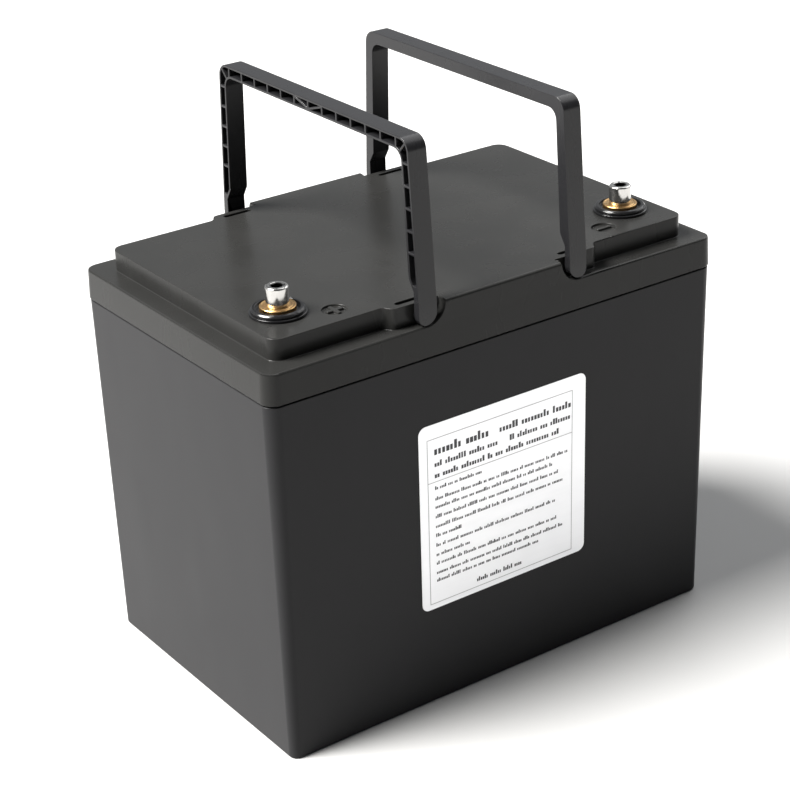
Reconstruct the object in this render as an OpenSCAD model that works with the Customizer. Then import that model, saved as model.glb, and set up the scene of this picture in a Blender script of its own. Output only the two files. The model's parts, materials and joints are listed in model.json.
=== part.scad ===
// Twelve volt lithium iron phosphate battery pack in a moulded case with two folding carrying handles.
// Millimetres. X runs along the long side, Y across, Z up. The origin is the middle of the base, on the
// ground.
// The label is on the -Y side, and the positive terminal is at the -X end.

/* [Overall size] */
// Length of the lid at the seam, along X
body_length = 260; // [216:1:312]
// Width of the lid at the seam, along Y
body_width = 168; // [150:1:202]
// Height of the raised top of the lid, without the handles
body_height = 210; // [175:1:252]

/* [Case shell] */
// Thickness of the side walls
wall = 3; // [2:0.1:4]
// Thickness of the case floor
floor_thickness = 3.5; // [2.5:0.1:5]
// Radius of the upright corners at the lid's lower edge
corner_radius = 7; // [6:0.1:10]
// How far each side of the case leans in from the seam down to the base
case_draft = 2.1; // [0.5:0.1:3]
// How far each side of the lid leans in from the seam up to the shoulder
lid_draft = 0.5; // [0:0.1:1]
// How far the case stands back from the lid at the seam
seam_setback = 0.5; // [0:0.1:1]
// Height of the open shadow line between case and lid
seam_gap = 0.8; // [0.4:0.1:1.5]
// Chamfer around the base of the case
base_chamfer = 1.5; // [0.5:0.1:2]
// Chamfer along the upper edge of the shoulder
edge_chamfer = 0.6; // [0.3:0.1:1]
// How far the seal stands back from the case wall
seal_recess = 1; // [0.5:0.1:1.4]

/* [Lid] */
// Depth of the seam below the raised top
seam_drop = 25.5; // [22:0.5:35]
// Height of the raised top above the shoulder
step_height = 10.5; // [9.5:0.1:12]
// Width of the shoulder at each short end
end_shoulder = 10.2; // [9.5:0.1:14]
// Width of the shoulder along each long side
side_shoulder = 10.6; // [9.5:0.1:12]
// Radius of the raised top's corners, seen from above
plateau_corner = 6; // [4:0.5:8]
// How far the raised top steps out behind each handle leg
seat_step = 4.9; // [4:0.1:5.2]
// Length of the curve that leads out to each leg seat
seat_curve = 6.4; // [6:0.1:9]
// Radius of the round pocket beside each leg
pocket_radius = 10.8; // [10:0.1:12]
// Rounding of the middle lobes' upper edge
lobe_round = 1.5; // [0.5:0.1:2.5]
// Depth of the rib that locates the lid inside the case
rib_depth = 5; // [3:0.5:8]
// Thickness of the locating rib
rib_thickness = 1.5; // [1:0.1:2]

/* [Handles] */
// Distance from a hinge axis to the middle of the grip bar
handle_reach = 79.9; // [72:0.1:90]
// Width of a handle along X
handle_width = 10; // [9:0.1:10.2]
// Thickness of the grip bar
grip_thickness = 6; // [5:0.1:7]
// Thickness of a leg where it meets the grip bar
leg_thickness = 5.5; // [4.5:0.1:6]
// How far each leg leans in from its foot up to the grip bar
leg_lean = 4.9; // [3:0.1:5]
// Thickness of the leg's tongue at the hinge
tongue_thickness = 4; // [3:0.1:4.5]
// Radius of the handle's outer corners
handle_corner = 6.5; // [5:0.1:8]
// Thickness of the ribs and of the walls around the pockets
rib_wall = 1.2; // [0.8:0.1:1.6]
// Thickness of the smooth web behind the pockets
web_thickness = 2.2; // [1.5:0.1:4]
// Number of square pockets on each half of the grip bar
bar_pockets = 5; // [3:1:7]
// Number of pockets on each leg
leg_pockets = 5; // [3:1:7]
// Radius of the hinge pins
pin_radius = 2.5; // [1.5:0.1:2.6]
// Radial clearance of a hinge pin in its hole
pin_clearance = 0.05; // [0.02:0.01:0.1]

/* [Terminals] */
// Distance from each terminal to the end of the raised top
terminal_inset = 19.3; // [16.3:0.1:45]
// Distance of the terminals from the middle, towards the label side
terminal_y = 47.5; // [35:0.5:52]
// Radius of the collar's lower flange
collar_radius = 13.3; // [12:0.1:16]
// Height of the collar above the raised top
collar_height = 3.25; // [2.5:0.05:5]
// Radius of the well inside the collar
well_radius = 10.2; // [9:0.1:11]
// Radius of the brass contact face
contact_radius = 8.4; // [7:0.1:8.8]
// Height of the brass contact face above the raised top
contact_height = 4; // [3:0.1:6]
// Radius of the threaded post under the contact face
post_radius = 5; // [4:0.1:5.5]
// Radius of the terminal bolt's head
bolt_head_radius = 5.4; // [4.5:0.1:6.5]
// Height of the terminal bolt's head
bolt_head_height = 9.3; // [6:0.1:11]
// Radius of the terminal bolt's thread
bolt_radius = 3; // [2.5:0.5:3.5]
// Width across the flats of the hexagon socket
socket_width = 5; // [4:0.5:6]

/* [Label] */
// Width of the label
label_width = 99.6; // [60:0.5:150]
// Height of the label
label_height = 98; // [60:0.5:120]
// Thickness of the label foil
label_thickness = 0.25; // [0.1:0.05:0.5]
// Offset of the label from the middle, along X
label_shift = -1.5; // [-20:0.5:20]
// Distance from the seam down to the label's upper edge
label_drop = 33.5; // [5:0.5:60]

/* [Cells] */
// Room above the cells for the protection board and the leads
head_space = 73.2; // [70:0.5:90]
// Room at the pole end of the cells
pole_space = 34; // [30:0.5:45]
// Thickness of the pad at the far end of the cells
end_pad = 12; // [6:0.5:20]
// Thickness of the pad under the cells
base_pad_thickness = 2.2; // [1:0.1:4]
// Thickness of the pads beside the cells
side_pad_thickness = 2.6; // [1.5:0.1:4]
// Thickness of the board between two cells
spacer_thickness = 0.8; // [0.5:0.1:1.5]
// Thickness of a cell's aluminium can
can_wall = 0.8; // [0.6:0.1:1.2]
// Distance of the poles from the upper and lower edge of a cell
pole_inset = 21; // [18:0.5:26]
// Thickness of the copper links
link_thickness = 2; // [1.5:0.1:3]
// Thickness of the straps around the cells
strap_thickness = 0.8; // [0.5:0.1:1]
// Width of the straps around the cells
strap_width = 16; // [10:0.5:20]

/* [Protection board] */
// Length of the circuit board
board_length = 140; // [120:1:150]
// Width of the circuit board
board_width = 76; // [60:1:90]
// Thickness of the circuit board
board_thickness = 1.6; // [1:0.1:2]
// Height of the standoffs under the circuit board
standoff_height = 6; // [4:0.5:8]
// Thickness of the insulating cover on the cells
cover_thickness = 1.5; // [1:0.1:2]
// Number of transistors in each row
transistor_count = 8; // [4:1:8]
// Number of fins on the heat sink
fin_count = 9; // [5:1:12]
// Radius of the main leads
lead_radius = 3.4; // [2.5:0.1:3.4]

/* [Hidden] */
$fn = 64;

// Enough steps for a smooth quarter turn in an outline
ARC_STEPS = 8;
// Overlap that joins two solids of one piece
JOIN = 0.5;
// Run of a cut past the face that it opens
PAST = 1;
// Clearance between pieces that only rest side by side
SIDE_PLAY = 0.15;

seam_z = body_height - seam_drop;
case_top = seam_z - seam_gap;
shoulder_z = body_height - step_height;
// The upright corners of case and lid share one centre line, so a drafted corner is a true cone
corner_x = body_length / 2 - corner_radius;
corner_y = body_width / 2 - corner_radius;
case_top_radius = corner_radius - seam_setback;
case_base_radius = case_top_radius - case_draft;
shoulder_radius = corner_radius - lid_draft;
plateau_x = corner_x + shoulder_radius - end_shoulder;
plateau_y = corner_y + shoulder_radius - side_shoulder;
seat_y = plateau_y + seat_step;
terminal_x = plateau_x - terminal_inset;
lid_face_y = corner_y + shoulder_radius;

// Folded, the grip bar lies along the middle of the end shoulder
pivot_x = plateau_x + end_shoulder / 2 - handle_reach;
foot_play = 0.3;
// Folded, a handle fills the step between the shoulder and the raised top
outer_side = 4;
inner_side = handle_width - outer_side;
pivot_z = shoulder_z + foot_play + outer_side + 0.1;
grip_top = pivot_z + handle_reach + grip_thickness / 2;
grip_bottom = grip_top - grip_thickness;
foot_z = shoulder_z + foot_play;
leg_face_y = lid_face_y - 0.1;
tongue_y = leg_face_y - tongue_thickness;
// The leg seat ends where a folded leg has stepped out of its joggle
seat_end = pivot_x + 12.1;
joggle_low = pivot_z + 12.1;
joggle_high = joggle_low + 5.5;
lean_start = pivot_z + 6.1;
leg_inner_low = leg_face_y - leg_lean * (joggle_high - lean_start) / (grip_bottom - lean_start) - 6.7;
leg_inner_high = leg_face_y - leg_lean - leg_thickness;
inner_corner = 5.5;
pin_boss = outer_side - 0.3;
slot_length = 15;
slot_width = 2.6;
slot_x = pivot_x + 2.5;
slot_y = seat_y - wall - 0.2 - slot_width / 2;

label_middle = case_top - label_drop - label_height / 2;

mark_radius = 5.9;
mark_depth = 1.3;
mark_bar = 2;
mark_x = terminal_x - 21.5;
mark_y = terminal_y + 13;

contact_z = body_height + contact_height;
post_flange = 2.3;
well_z = contact_z - post_flange;
spigot_radius = 8;
seal_radius = 6.5;
seal_section = 0.88;
lid_under = body_height - wall;
post_nut_height = 5;
lug_thickness = 2.4;
lead_nut_height = 4.5;
lug_z = lid_under - post_nut_height - lug_thickness;
post_bottom = lug_z - lead_nut_height - 1;
thread_play = 0.05;

floor_z = floor_thickness;
inner_x = corner_x + case_base_radius - wall;
inner_y = corner_y + case_base_radius - wall;
stack_x0 = -inner_x + end_pad + SIDE_PLAY;
stack_x1 = inner_x - pole_space;
cell_length = stack_x1 - stack_x0;
stack_y = inner_y - side_pad_thickness - strap_thickness - 2 * SIDE_PLAY;
cell_thickness = (2 * stack_y - 3 * spacer_thickness) / 4;
stack_z0 = floor_z + base_pad_thickness + strap_thickness;
cell_height = body_height - head_space - stack_z0;
stack_z1 = stack_z0 + cell_height;
cell_pitch = cell_thickness + spacer_thickness;
cell_middle = stack_z0 + cell_height / 2;
cap_thickness = 1.5;
cell_corner = 2.5;
inside_corner = cell_corner - can_wall;
inside_thickness = cell_thickness - 2 * can_wall;
inside_height = cell_height - 2 * can_wall;
vent_radius = 6;
pole_height = 3.6;
pole_radius = 8;
stud_radius = 3;
stud_length = 9;
nut_height = 4;
link_x = stack_x1 + pole_height;
upper_pole = stack_z1 - pole_inset;
lower_pole = stack_z0 + pole_inset;

strap_x = cell_length / 4;
cover_z = stack_z1 + strap_thickness + 0.1;
board_z = cover_z + cover_thickness + standoff_height;
board_top = board_z + board_thickness;
board_x1 = stack_x1 - 22;
board_x0 = board_x1 - board_length;
board_lug_x = board_x1 - 10;
standoff_radius = 3;
hole_radius = 1.6;
screw_radius = 1.5;
screw_inset = 6;
transistor_height = 4.5;
sink_z = board_top + transistor_height;
sink_base = 3;
fin_height = 5;
sink_x0 = board_x0 + 1;
sink_x1 = board_x1 - 26;
barrel_start = 10;
barrel_length = 14;
crimp_play = 0.25;
barrel_radius = lead_radius + crimp_play + 0.8;
lug_radius = 8.5;

SHELL_BLACK = [0.07, 0.07, 0.075];
BRASS = [0.83, 0.62, 0.28];
NICKEL = [0.78, 0.78, 0.76];
COPPER = [0.78, 0.45, 0.28];
CELL_BLUE = [0.10, 0.28, 0.62];
BOARD_GREEN = [0.05, 0.30, 0.16];
FOAM_GREY = [0.25, 0.25, 0.27];
EPOXY_YELLOW = [0.72, 0.66, 0.30];

function unit(v) = v / norm(v);

// Points of the arc that rounds the corner b between a and c
function arc_corner(a, b, c, r) =
    let (
        u = unit(a - b),
        v = unit(c - b),
        half = acos(u * v) / 2,
        middle = b + unit(u + v) * r / sin(half),
        first = b + u * r / tan(half) - middle,
        last = b + v * r / tan(half) - middle,
        start = atan2(first.y, first.x),
        turn = ((atan2(last.y, last.x) - start) % 360 + 540) % 360 - 180,
        step = turn / ARC_STEPS
    )
    [for (i = [0:ARC_STEPS]) middle + r * [cos(start + i * step), sin(start + i * step)]];

// A closed outline from corners [x, y, radius]
function rounded_outline(corners) =
    let (n = len(corners), p = [for (c = corners) [c[0], c[1]]])
    [for (i = [0:n - 1])
        let (before = p[(i + n - 1) % n], after = p[(i + 1) % n], r = corners[i][2])
            each (r > 0 ? arc_corner(before, p[i], after, r) : [p[i]])];

function rectangle_corners(w, h, r) =
    [[w / 2, h / 2, r], [-w / 2, h / 2, r], [-w / 2, -h / 2, r], [w / 2, -h / 2, r]];

function backwards(list) = [for (i = [len(list) - 1:-1:0]) list[i]];

// Repeats the corners of one quadrant in all four
function four_quadrants(quadrant) = concat(
    quadrant,
    [for (c = backwards(quadrant)) [-c[0], c[1], c[2]]],
    [for (c = quadrant) [-c[0], -c[1], c[2]]],
    [for (c = backwards(quadrant)) [c[0], -c[1], c[2]]]
);

// Outline of the raised top, drawn in by a given inset on every side
function plateau_corners(inset) = four_quadrants([
    [plateau_x - inset, plateau_y - inset, max(plateau_corner - inset, 1.5)],
    [seat_end + seat_curve * 0.75 - inset * 0.7, plateau_y - inset, 3],
    [seat_end + seat_curve * 0.25 - inset * 0.7, seat_y - inset, 3]
]);

// Point at t (0 to 1) along a smooth curve through the points of a route
function route_point(route, t) =
    let (
        n = len(route) - 1,
        s = min(floor(t * n), n - 1),
        f = t * n - s,
        p0 = route[max(s - 1, 0)],
        p1 = route[s],
        p2 = route[s + 1],
        p3 = route[min(s + 2, n)]
    )
    0.5 * (
        2 * p1
        + (p2 - p0) * f
        + (2 * p0 - 5 * p1 + 4 * p2 - p3) * f * f
        + (3 * p1 - p0 - 3 * p2 + p3) * f * f * f
    );

// A round lead swept along a route
module lead_tube(route, r, rings, sides) {
    spine = [for (i = [0:rings]) route_point(route, i / rings)];
    last = len(route) - 1;
    way = [for (i = [0:rings])
        i == 0 ? unit(route[1] - route[0])
        : i == rings ? unit(route[last] - route[last - 1])
        : unit(spine[i + 1] - spine[i - 1])];
    side_axis = unit([0.31, 0.17, 0.93]);
    points = [for (i = [0:rings])
        let (
            across = abs(way[i] * side_axis) > 0.97 ? [1, 0, 0] : side_axis,
            u = unit(cross(way[i], across)),
            v = cross(way[i], u)
        )
        for (k = [0:sides - 1]) spine[i] + r * (cos(360 * k / sides) * u + sin(360 * k / sides) * v)];
    skin = [for (i = [0:rings - 1], k = [0:sides - 1])
        let (a = i * sides, b = a + sides, next = (k + 1) % sides)
            [a + k, b + k, b + next, a + next]];
    first_end = [for (k = [0:sides - 1]) k];
    last_end = [for (k = [sides - 1:-1:0]) rings * sides + k];
    polyhedron(points, concat(skin, [first_end], [last_end]));
}

// A drafted box around the shared corner lines, from levels [height, corner radius] listed upwards.
// Its upright corners are true cones, and its sides are flat.
module drafted_box(levels) {
    low = levels[0][0];
    high = levels[len(levels) - 1][0];
    function side_outline(half) = concat(
        [for (level = levels) [half + level[1], level[0]]],
        [for (level = backwards(levels)) [-half - level[1], level[0]]]
    );
    for (x = [-corner_x, corner_x], y = [-corner_y, corner_y])
        translate([x, y, 0])
            rotate_extrude()
                polygon(concat([[0, low]], [for (level = levels) [level[1], level[0]]], [[0, high]]));
    translate([0, corner_y, 0])
        rotate([90, 0, 0])
            linear_extrude(2 * corner_y)
                polygon(side_outline(corner_x));
    translate([-corner_x, 0, 0])
        rotate([90, 0, 90])
            linear_extrude(2 * corner_x)
                polygon(side_outline(corner_y));
}

// A plate with rounded corners, lying on z
module rounded_plate(w, d, h, r) {
    linear_extrude(h)
        polygon(rounded_outline(rectangle_corners(w, d, r)));
}

// A cylinder along X that starts at the given point
module rod_x(p, r, h) {
    translate(p)
        rotate([0, 90, 0])
            cylinder(r = r, h = h);
}

module rod_z(p, r, h) {
    translate(p)
        cylinder(r = r, h = h);
}

// Corner radius of the case's outside at a height
function case_radius(z) = case_base_radius + case_draft * z / case_top;

module case_tub() {
    color(SHELL_BLACK)
        difference() {
            intersection() {
                drafted_box([[0, case_base_radius], [case_top, case_top_radius]]);
                // Only the chamfer of this wider box meets the case
                drafted_box([
                    [0, case_base_radius - base_chamfer],
                    [case_base_radius, 2 * case_base_radius - base_chamfer],
                    [case_top, 2 * case_base_radius - base_chamfer]
                ]);
            }
            drafted_box([
                [floor_z, case_radius(floor_z) - wall],
                [case_top + PAST, case_radius(case_top + PAST) - wall]
            ]);
        }
}

module mid_lobe_body() {
    lobe_corners = [
        [seat_y - 2 * wall, shoulder_z - 2 * JOIN, 0],
        [lid_face_y, shoulder_z - 2 * JOIN, 0],
        [lid_face_y, body_height, lobe_round],
        [seat_y - 2 * wall, body_height, 0]
    ];
    difference() {
        translate([-pivot_x, 0, 0])
            rotate([90, 0, 90])
                linear_extrude(2 * pivot_x)
                    polygon(rounded_outline(lobe_corners));
        for (side = [-1, 1])
            translate([side * pivot_x, seat_y, body_height])
                rotate([-90, 0, 0])
                    cylinder(r = pocket_radius, h = body_width);
    }
}

module plateau_solid(inset, z0, z1) {
    translate([0, 0, z0])
        linear_extrude(z1 - z0)
            polygon(rounded_outline(plateau_corners(inset)));
}

module polarity_mark(positive) {
    arm = 1.5 * mark_radius;
    translate([positive ? -mark_x : mark_x, -mark_y, body_height - mark_depth])
        difference() {
            cylinder(r = mark_radius, h = mark_depth + PAST);
            translate([-arm / 2, -mark_bar / 2, -PAST])
                cube([arm, mark_bar, mark_depth + 3 * PAST]);
            if (positive)
                translate([-mark_bar / 2, -arm / 2, -PAST])
                    cube([mark_bar, arm, mark_depth + 3 * PAST]);
        }
}

module handle_slot(x, y) {
    straight = slot_length - slot_width;
    translate([x, y, lid_under - PAST]) {
        translate([-straight / 2, -slot_width / 2, 0])
            cube([straight, slot_width, wall + 2 * PAST]);
        for (end = [-1, 1])
            rod_z([end * straight / 2, 0, 0], slot_width / 2, wall + 2 * PAST);
    }
}

module lid() {
    rib_outer = case_top_radius - wall - 2 * SIDE_PLAY;
    rib_inner = rib_outer - rib_thickness;
    lobe_hollow = pivot_x - pocket_radius - wall;
    color(SHELL_BLACK)
        difference() {
            union() {
                drafted_box([
                    [seam_z, corner_radius],
                    [shoulder_z - edge_chamfer, shoulder_radius],
                    [shoulder_z, shoulder_radius - edge_chamfer]
                ]);
                plateau_solid(0, shoulder_z - JOIN, body_height);
                for (side = [0, 1])
                    mirror([0, side, 0])
                        mid_lobe_body();
                drafted_box([[seam_z - rib_depth, rib_outer], [seam_z + JOIN, rib_outer]]);
            }
            drafted_box([[seam_z - rib_depth - PAST, rib_inner], [shoulder_z - wall, rib_inner]]);
            plateau_solid(wall, shoulder_z - wall - JOIN, lid_under);
            for (side = [-1, 1]) {
                if (lobe_hollow > 4)
                    translate([
                        -lobe_hollow,
                        side > 0 ? seat_y - wall - JOIN : wall - lid_face_y,
                        shoulder_z - wall - JOIN
                    ])
                        cube([2 * lobe_hollow, lid_face_y - seat_y + JOIN, step_height]);
                for (end = [-1, 1]) {
                    handle_slot(end * slot_x, side * slot_y);
                    translate([end * pivot_x, side * (seat_y - wall / 2), pivot_z])
                        rotate([90, 0, 0])
                            cylinder(r = pin_radius + pin_clearance, h = wall + 2 * PAST, center = true);
                }
                at_terminal(side)
                    rod_z([0, 0, lid_under - PAST], spigot_radius + thread_play, wall + 2 * PAST);
            }
            polarity_mark(true);
            polarity_mark(false);
        }
}

module lid_seal() {
    color("black")
        difference() {
            drafted_box([
                [case_top, case_top_radius - seal_recess],
                [seam_z, case_top_radius - seal_recess]
            ]);
            drafted_box([[case_top - PAST, case_top_radius - wall], [seam_z + PAST, case_top_radius - wall]]);
        }
}

module front_label() {
    lean = atan(case_draft / case_top);
    color("silver")
        translate([label_shift, -corner_y - case_base_radius, 0])
            rotate([lean, 0, 0])
                translate([0, -0.02, label_middle])
                    rotate([90, 0, 0])
                        rounded_plate(label_width, label_height, label_thickness, 4);
}

module at_terminal(side) {
    translate([side * terminal_x, -terminal_y, 0])
        children();
}

module terminal_collar(side) {
    seal_seat = well_z - 2 * seal_section - 0.04;
    color([0.03, 0.03, 0.03])
        at_terminal(side)
            difference() {
                union() {
                    rod_z([0, 0, body_height], collar_radius, 1.4);
                    rod_z([0, 0, body_height + 1.3], collar_radius - 0.8, collar_height - 2.1);
                    translate([0, 0, body_height + collar_height - 0.8])
                        cylinder(r1 = collar_radius - 0.8, r2 = collar_radius - 1.6, h = 0.8);
                    rod_z([0, 0, lid_under], spigot_radius, wall + JOIN);
                }
                rod_z([0, 0, well_z], well_radius, collar_height + contact_height);
                rod_z([0, 0, seal_seat], seal_radius + seal_section + 0.02, 2 * seal_section + PAST);
                rod_z([0, 0, lid_under - PAST], post_radius + thread_play, wall + 3 * PAST);
            }
}

module terminal_post(side) {
    color(BRASS)
        at_terminal(side)
            difference() {
                union() {
                    rod_z([0, 0, well_z], contact_radius, post_flange - 0.3);
                    translate([0, 0, contact_z - 0.3])
                        cylinder(r1 = contact_radius, r2 = contact_radius - 0.3, h = 0.3);
                    rod_z([0, 0, post_bottom], post_radius, well_z - post_bottom + JOIN);
                }
                rod_z([0, 0, post_bottom + 3], bolt_radius + thread_play, contact_z);
            }
}

module terminal_bolt(side) {
    color(NICKEL)
        at_terminal(side)
            difference() {
                union() {
                    rod_z([0, 0, contact_z], bolt_head_radius, bolt_head_height - 0.6);
                    translate([0, 0, contact_z + bolt_head_height - 0.6])
                        cylinder(r1 = bolt_head_radius, r2 = bolt_head_radius - 0.6, h = 0.6);
                    rod_z([0, 0, post_bottom + 5], bolt_radius, contact_z - post_bottom - 5 + JOIN);
                }
                translate([0, 0, contact_z + bolt_head_height - 5])
                    cylinder(r = socket_width / sqrt(3), h = 6, $fn = 6);
            }
}

module post_o_rings() {
    color("black")
        for (side = [-1, 1])
            at_terminal(side)
                translate([0, 0, well_z - seal_section - 0.02])
                    rotate_extrude()
                        translate([seal_radius, 0])
                            circle(r = seal_section);
}

module hexagon_nut(width, height, bore) {
    difference() {
        cylinder(r = width / sqrt(3), h = height, $fn = 6);
        translate([0, 0, -PAST])
            cylinder(r = bore, h = height + 2 * PAST);
    }
}

module post_nuts() {
    color(BRASS)
        for (side = [-1, 1])
            at_terminal(side)
                translate([0, 0, lid_under - post_nut_height])
                    hexagon_nut(3.4 * post_radius, post_nut_height, post_radius + thread_play);
}

module lead_nuts() {
    color(BRASS)
        for (side = [-1, 1])
            at_terminal(side)
                translate([0, 0, lug_z - lead_nut_height])
                    hexagon_nut(3.4 * post_radius, lead_nut_height, post_radius + thread_play);
}

function cell_y(i) = -stack_y + cell_thickness / 2 + (i - 1) * cell_pitch;

// Puts a shape drawn in the cell's own Y and Z on the pole end of a cell
module on_cell(i, x) {
    translate([x, cell_y(i), cell_middle])
        rotate([90, 0, 90])
            children();
}

module cell_can(i) {
    color(CELL_BLUE)
        difference() {
            on_cell(i, stack_x0)
                rounded_plate(cell_thickness, cell_height, cell_length, cell_corner);
            on_cell(i, stack_x0 + can_wall)
                rounded_plate(inside_thickness, inside_height, cell_length, inside_corner);
        }
}

module cell_caps() {
    cut_x = stack_x1 - cap_thickness - PAST;
    color("silver")
        for (i = [1:4])
            difference() {
                on_cell(i, stack_x1 - cap_thickness)
                    rounded_plate(inside_thickness, inside_height, cap_thickness, inside_corner);
                for (z = [lower_pole, upper_pole])
                    rod_x([cut_x, cell_y(i), z], stud_radius + 1, cap_thickness + 2 * PAST);
                rod_x([cut_x, cell_y(i), cell_middle], vent_radius, cap_thickness + 2 * PAST);
            }
}

module cell_vents() {
    color("gray")
        for (i = [1:4])
            rod_x([stack_x1 - cap_thickness, cell_y(i), cell_middle], vent_radius, 0.6);
}

module electrode_rolls() {
    color([0.35, 0.33, 0.32])
        for (i = [1:4])
            on_cell(i, stack_x0 + can_wall + 0.5)
                rounded_plate(inside_thickness - 1, inside_height - 1, cell_length - 12, inside_corner);
}

module cell_poles() {
    stud_start = stack_x1 - cap_thickness - 2;
    color("lightgray")
        for (i = [1:4], z = [lower_pole, upper_pole]) {
            rod_x([stack_x1, cell_y(i), z], pole_radius, pole_height);
            rod_x([stud_start, cell_y(i), z], stud_radius, link_x + stud_length - stud_start);
        }
}

// Copper link between cell i and the next, at the given height
module cell_link(i, z) {
    color(COPPER)
        difference() {
            translate([link_x, cell_y(i) + cell_pitch / 2, z])
                rotate([90, 0, 90])
                    rounded_plate(cell_pitch + 20, 20, link_thickness, 3);
            for (k = [i, i + 1])
                rod_x([link_x - PAST, cell_y(k), z], stud_radius + 0.2, link_thickness + 2 * PAST);
        }
}

// Height of the metal that each pole's nut is tightened on
function clamped(i, upper) = upper && (i == 1 || i == 4) ? lug_thickness : link_thickness;

module pole_nuts() {
    color(NICKEL)
        for (i = [1:4], upper = [false, true])
            translate([link_x + clamped(i, upper), cell_y(i), upper ? upper_pole : lower_pole])
                rotate([0, 90, 0])
                    hexagon_nut(10, nut_height, stud_radius + thread_play);
}

module cell_spacers() {
    color(EPOXY_YELLOW)
        for (i = [1:3])
            translate([stack_x0 + 2, cell_y(i) + cell_thickness / 2, stack_z0 + 2])
                cube([cell_length - 4, spacer_thickness, cell_height - 4]);
}

module stack_straps() {
    color([0.15, 0.35, 0.20])
        for (side = [-1, 1])
            translate([(stack_x0 + stack_x1) / 2 + side * strap_x - strap_width / 2, 0, cell_middle])
                rotate([90, 0, 90])
                    linear_extrude(strap_width)
                        difference() {
                            square([2 * stack_y, cell_height] + 2 * strap_thickness * [1, 1], center = true);
                            square([2 * stack_y, cell_height], center = true);
                        }
}

module base_pad() {
    color(FOAM_GREY)
        translate([stack_x0, -stack_y, floor_z])
            cube([cell_length, 2 * stack_y, base_pad_thickness]);
}

module side_pads() {
    color(FOAM_GREY)
        for (side = [0, 1])
            mirror([0, side, 0])
                translate([stack_x0 + 5, stack_y + strap_thickness + SIDE_PLAY / 2, stack_z0 + 3])
                    cube([cell_length - 10, side_pad_thickness, cell_height - 10]);
}

module end_pad_foam() {
    color(FOAM_GREY)
        translate([-inner_x, -stack_y, floor_z])
            cube([end_pad, 2 * stack_y, cell_height]);
}

module stack_cover() {
    color(EPOXY_YELLOW)
        difference() {
            translate([(stack_x0 + stack_x1) / 2, 0, cover_z])
                rounded_plate(cell_length, 2 * stack_y, cover_thickness, 4);
            for (p = board_holes())
                rod_z([p.x, p.y, cover_z - PAST], hole_radius, cover_thickness + 2 * PAST);
        }
}

function board_holes() = [
    for (x = [board_x0 + screw_inset, sink_x1 - screw_inset], side = [-1, 1])
        [x, side * (board_width / 2 - screw_inset)]
];

module board_standoffs() {
    color("white")
        for (p = board_holes())
            difference() {
                rod_z([p.x, p.y, cover_z + cover_thickness], standoff_radius, standoff_height);
                rod_z([p.x, p.y, cover_z], screw_radius + thread_play, board_z - cover_z + PAST);
            }
}

module circuit_board() {
    color(BOARD_GREEN)
        difference() {
            translate([(board_x0 + board_x1) / 2, 0, board_z])
                rounded_plate(board_length, board_width, board_thickness, 2);
            for (p = board_holes())
                rod_z([p.x, p.y, board_z - PAST], hole_radius, board_thickness + 2 * PAST);
            for (y = [-board_width / 4, board_width / 4])
                rod_z([board_lug_x, y, board_z - PAST], stud_radius + 0.2, board_thickness + 2 * PAST);
        }
}

module transistors() {
    row_start = sink_x0 + 2 * screw_inset;
    pitch = (sink_x1 - sink_x0 - 4 * screw_inset) / transistor_count;
    depth = 10;
    color([0.08, 0.08, 0.08])
        for (k = [0:transistor_count - 1], side = [-1, 1])
            translate([row_start + (k + 0.1) * pitch, side * board_width / 4 - depth / 2, board_top])
                cube([pitch * 0.8, depth, transistor_height]);
}

module heat_sink() {
    width = board_width - 4;
    pitch = (width - 2 * (screw_inset + 4)) / (fin_count - 1);
    color("silver")
        difference() {
            union() {
                translate([sink_x0, -width / 2, sink_z])
                    cube([sink_x1 - sink_x0, width, sink_base]);
                for (k = [0:fin_count - 1])
                    translate([sink_x0, (k - (fin_count - 1) / 2) * pitch - 0.8, sink_z + sink_base - JOIN])
                        cube([sink_x1 - sink_x0, 1.6, fin_height + JOIN]);
            }
            for (p = board_holes())
                rod_z([p.x, p.y, sink_z - PAST], hole_radius, sink_base + 2 * PAST);
        }
}

module board_screws() {
    head_z = sink_z + sink_base;
    screw_end = cover_z + cover_thickness + 1;
    color(NICKEL)
        for (p = board_holes())
            difference() {
                union() {
                    rod_z([p.x, p.y, head_z], 2.8, 2);
                    rod_z([p.x, p.y, screw_end], screw_radius, head_z + JOIN - screw_end);
                }
                translate([p.x, p.y, head_z + 1])
                    cylinder(r = 1.4, h = 2, $fn = 6);
            }
}

socket_size = [8, 16, 6];
socket_x = board_lug_x - 4;
plug_x = socket_x + 1.5;
plug_size = [10, 14, socket_size.z - 3.1];

module balance_socket() {
    inset = 0.9;
    color("ivory")
        translate([socket_x, -socket_size.y / 2, board_top])
            difference() {
                cube(socket_size);
                translate([inset, inset, 2])
                    cube([socket_size.x, socket_size.y - 2 * inset, socket_size.z - 2 - inset]);
            }
}

module balance_plug() {
    color("white")
        translate([plug_x, -plug_size.y / 2, board_top + 2.05])
            cube(plug_size);
}

module board_capacitors() {
    color([0.1, 0.1, 0.35])
        for (y = [-30, 30])
            rod_z([board_x1 - 20, y, board_top], 3, 9);
}

// A ring lug in its own frame: the ring lies on z = 0 and the crimped barrel points along +X
module ring_lug(bore) {
    middle = lug_thickness / 2;
    difference() {
        union() {
            cylinder(r = lug_radius, h = lug_thickness);
            translate([0, -barrel_radius, 0])
                cube([barrel_start + JOIN, 2 * barrel_radius, lug_thickness]);
            rod_x([barrel_start, 0, middle], barrel_radius, barrel_length);
        }
        translate([0, 0, -PAST])
            cylinder(r = bore, h = lug_thickness + 2 * PAST);
        rod_x([barrel_start + 2, 0, middle], lead_radius + crimp_play, barrel_length);
    }
}

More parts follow.
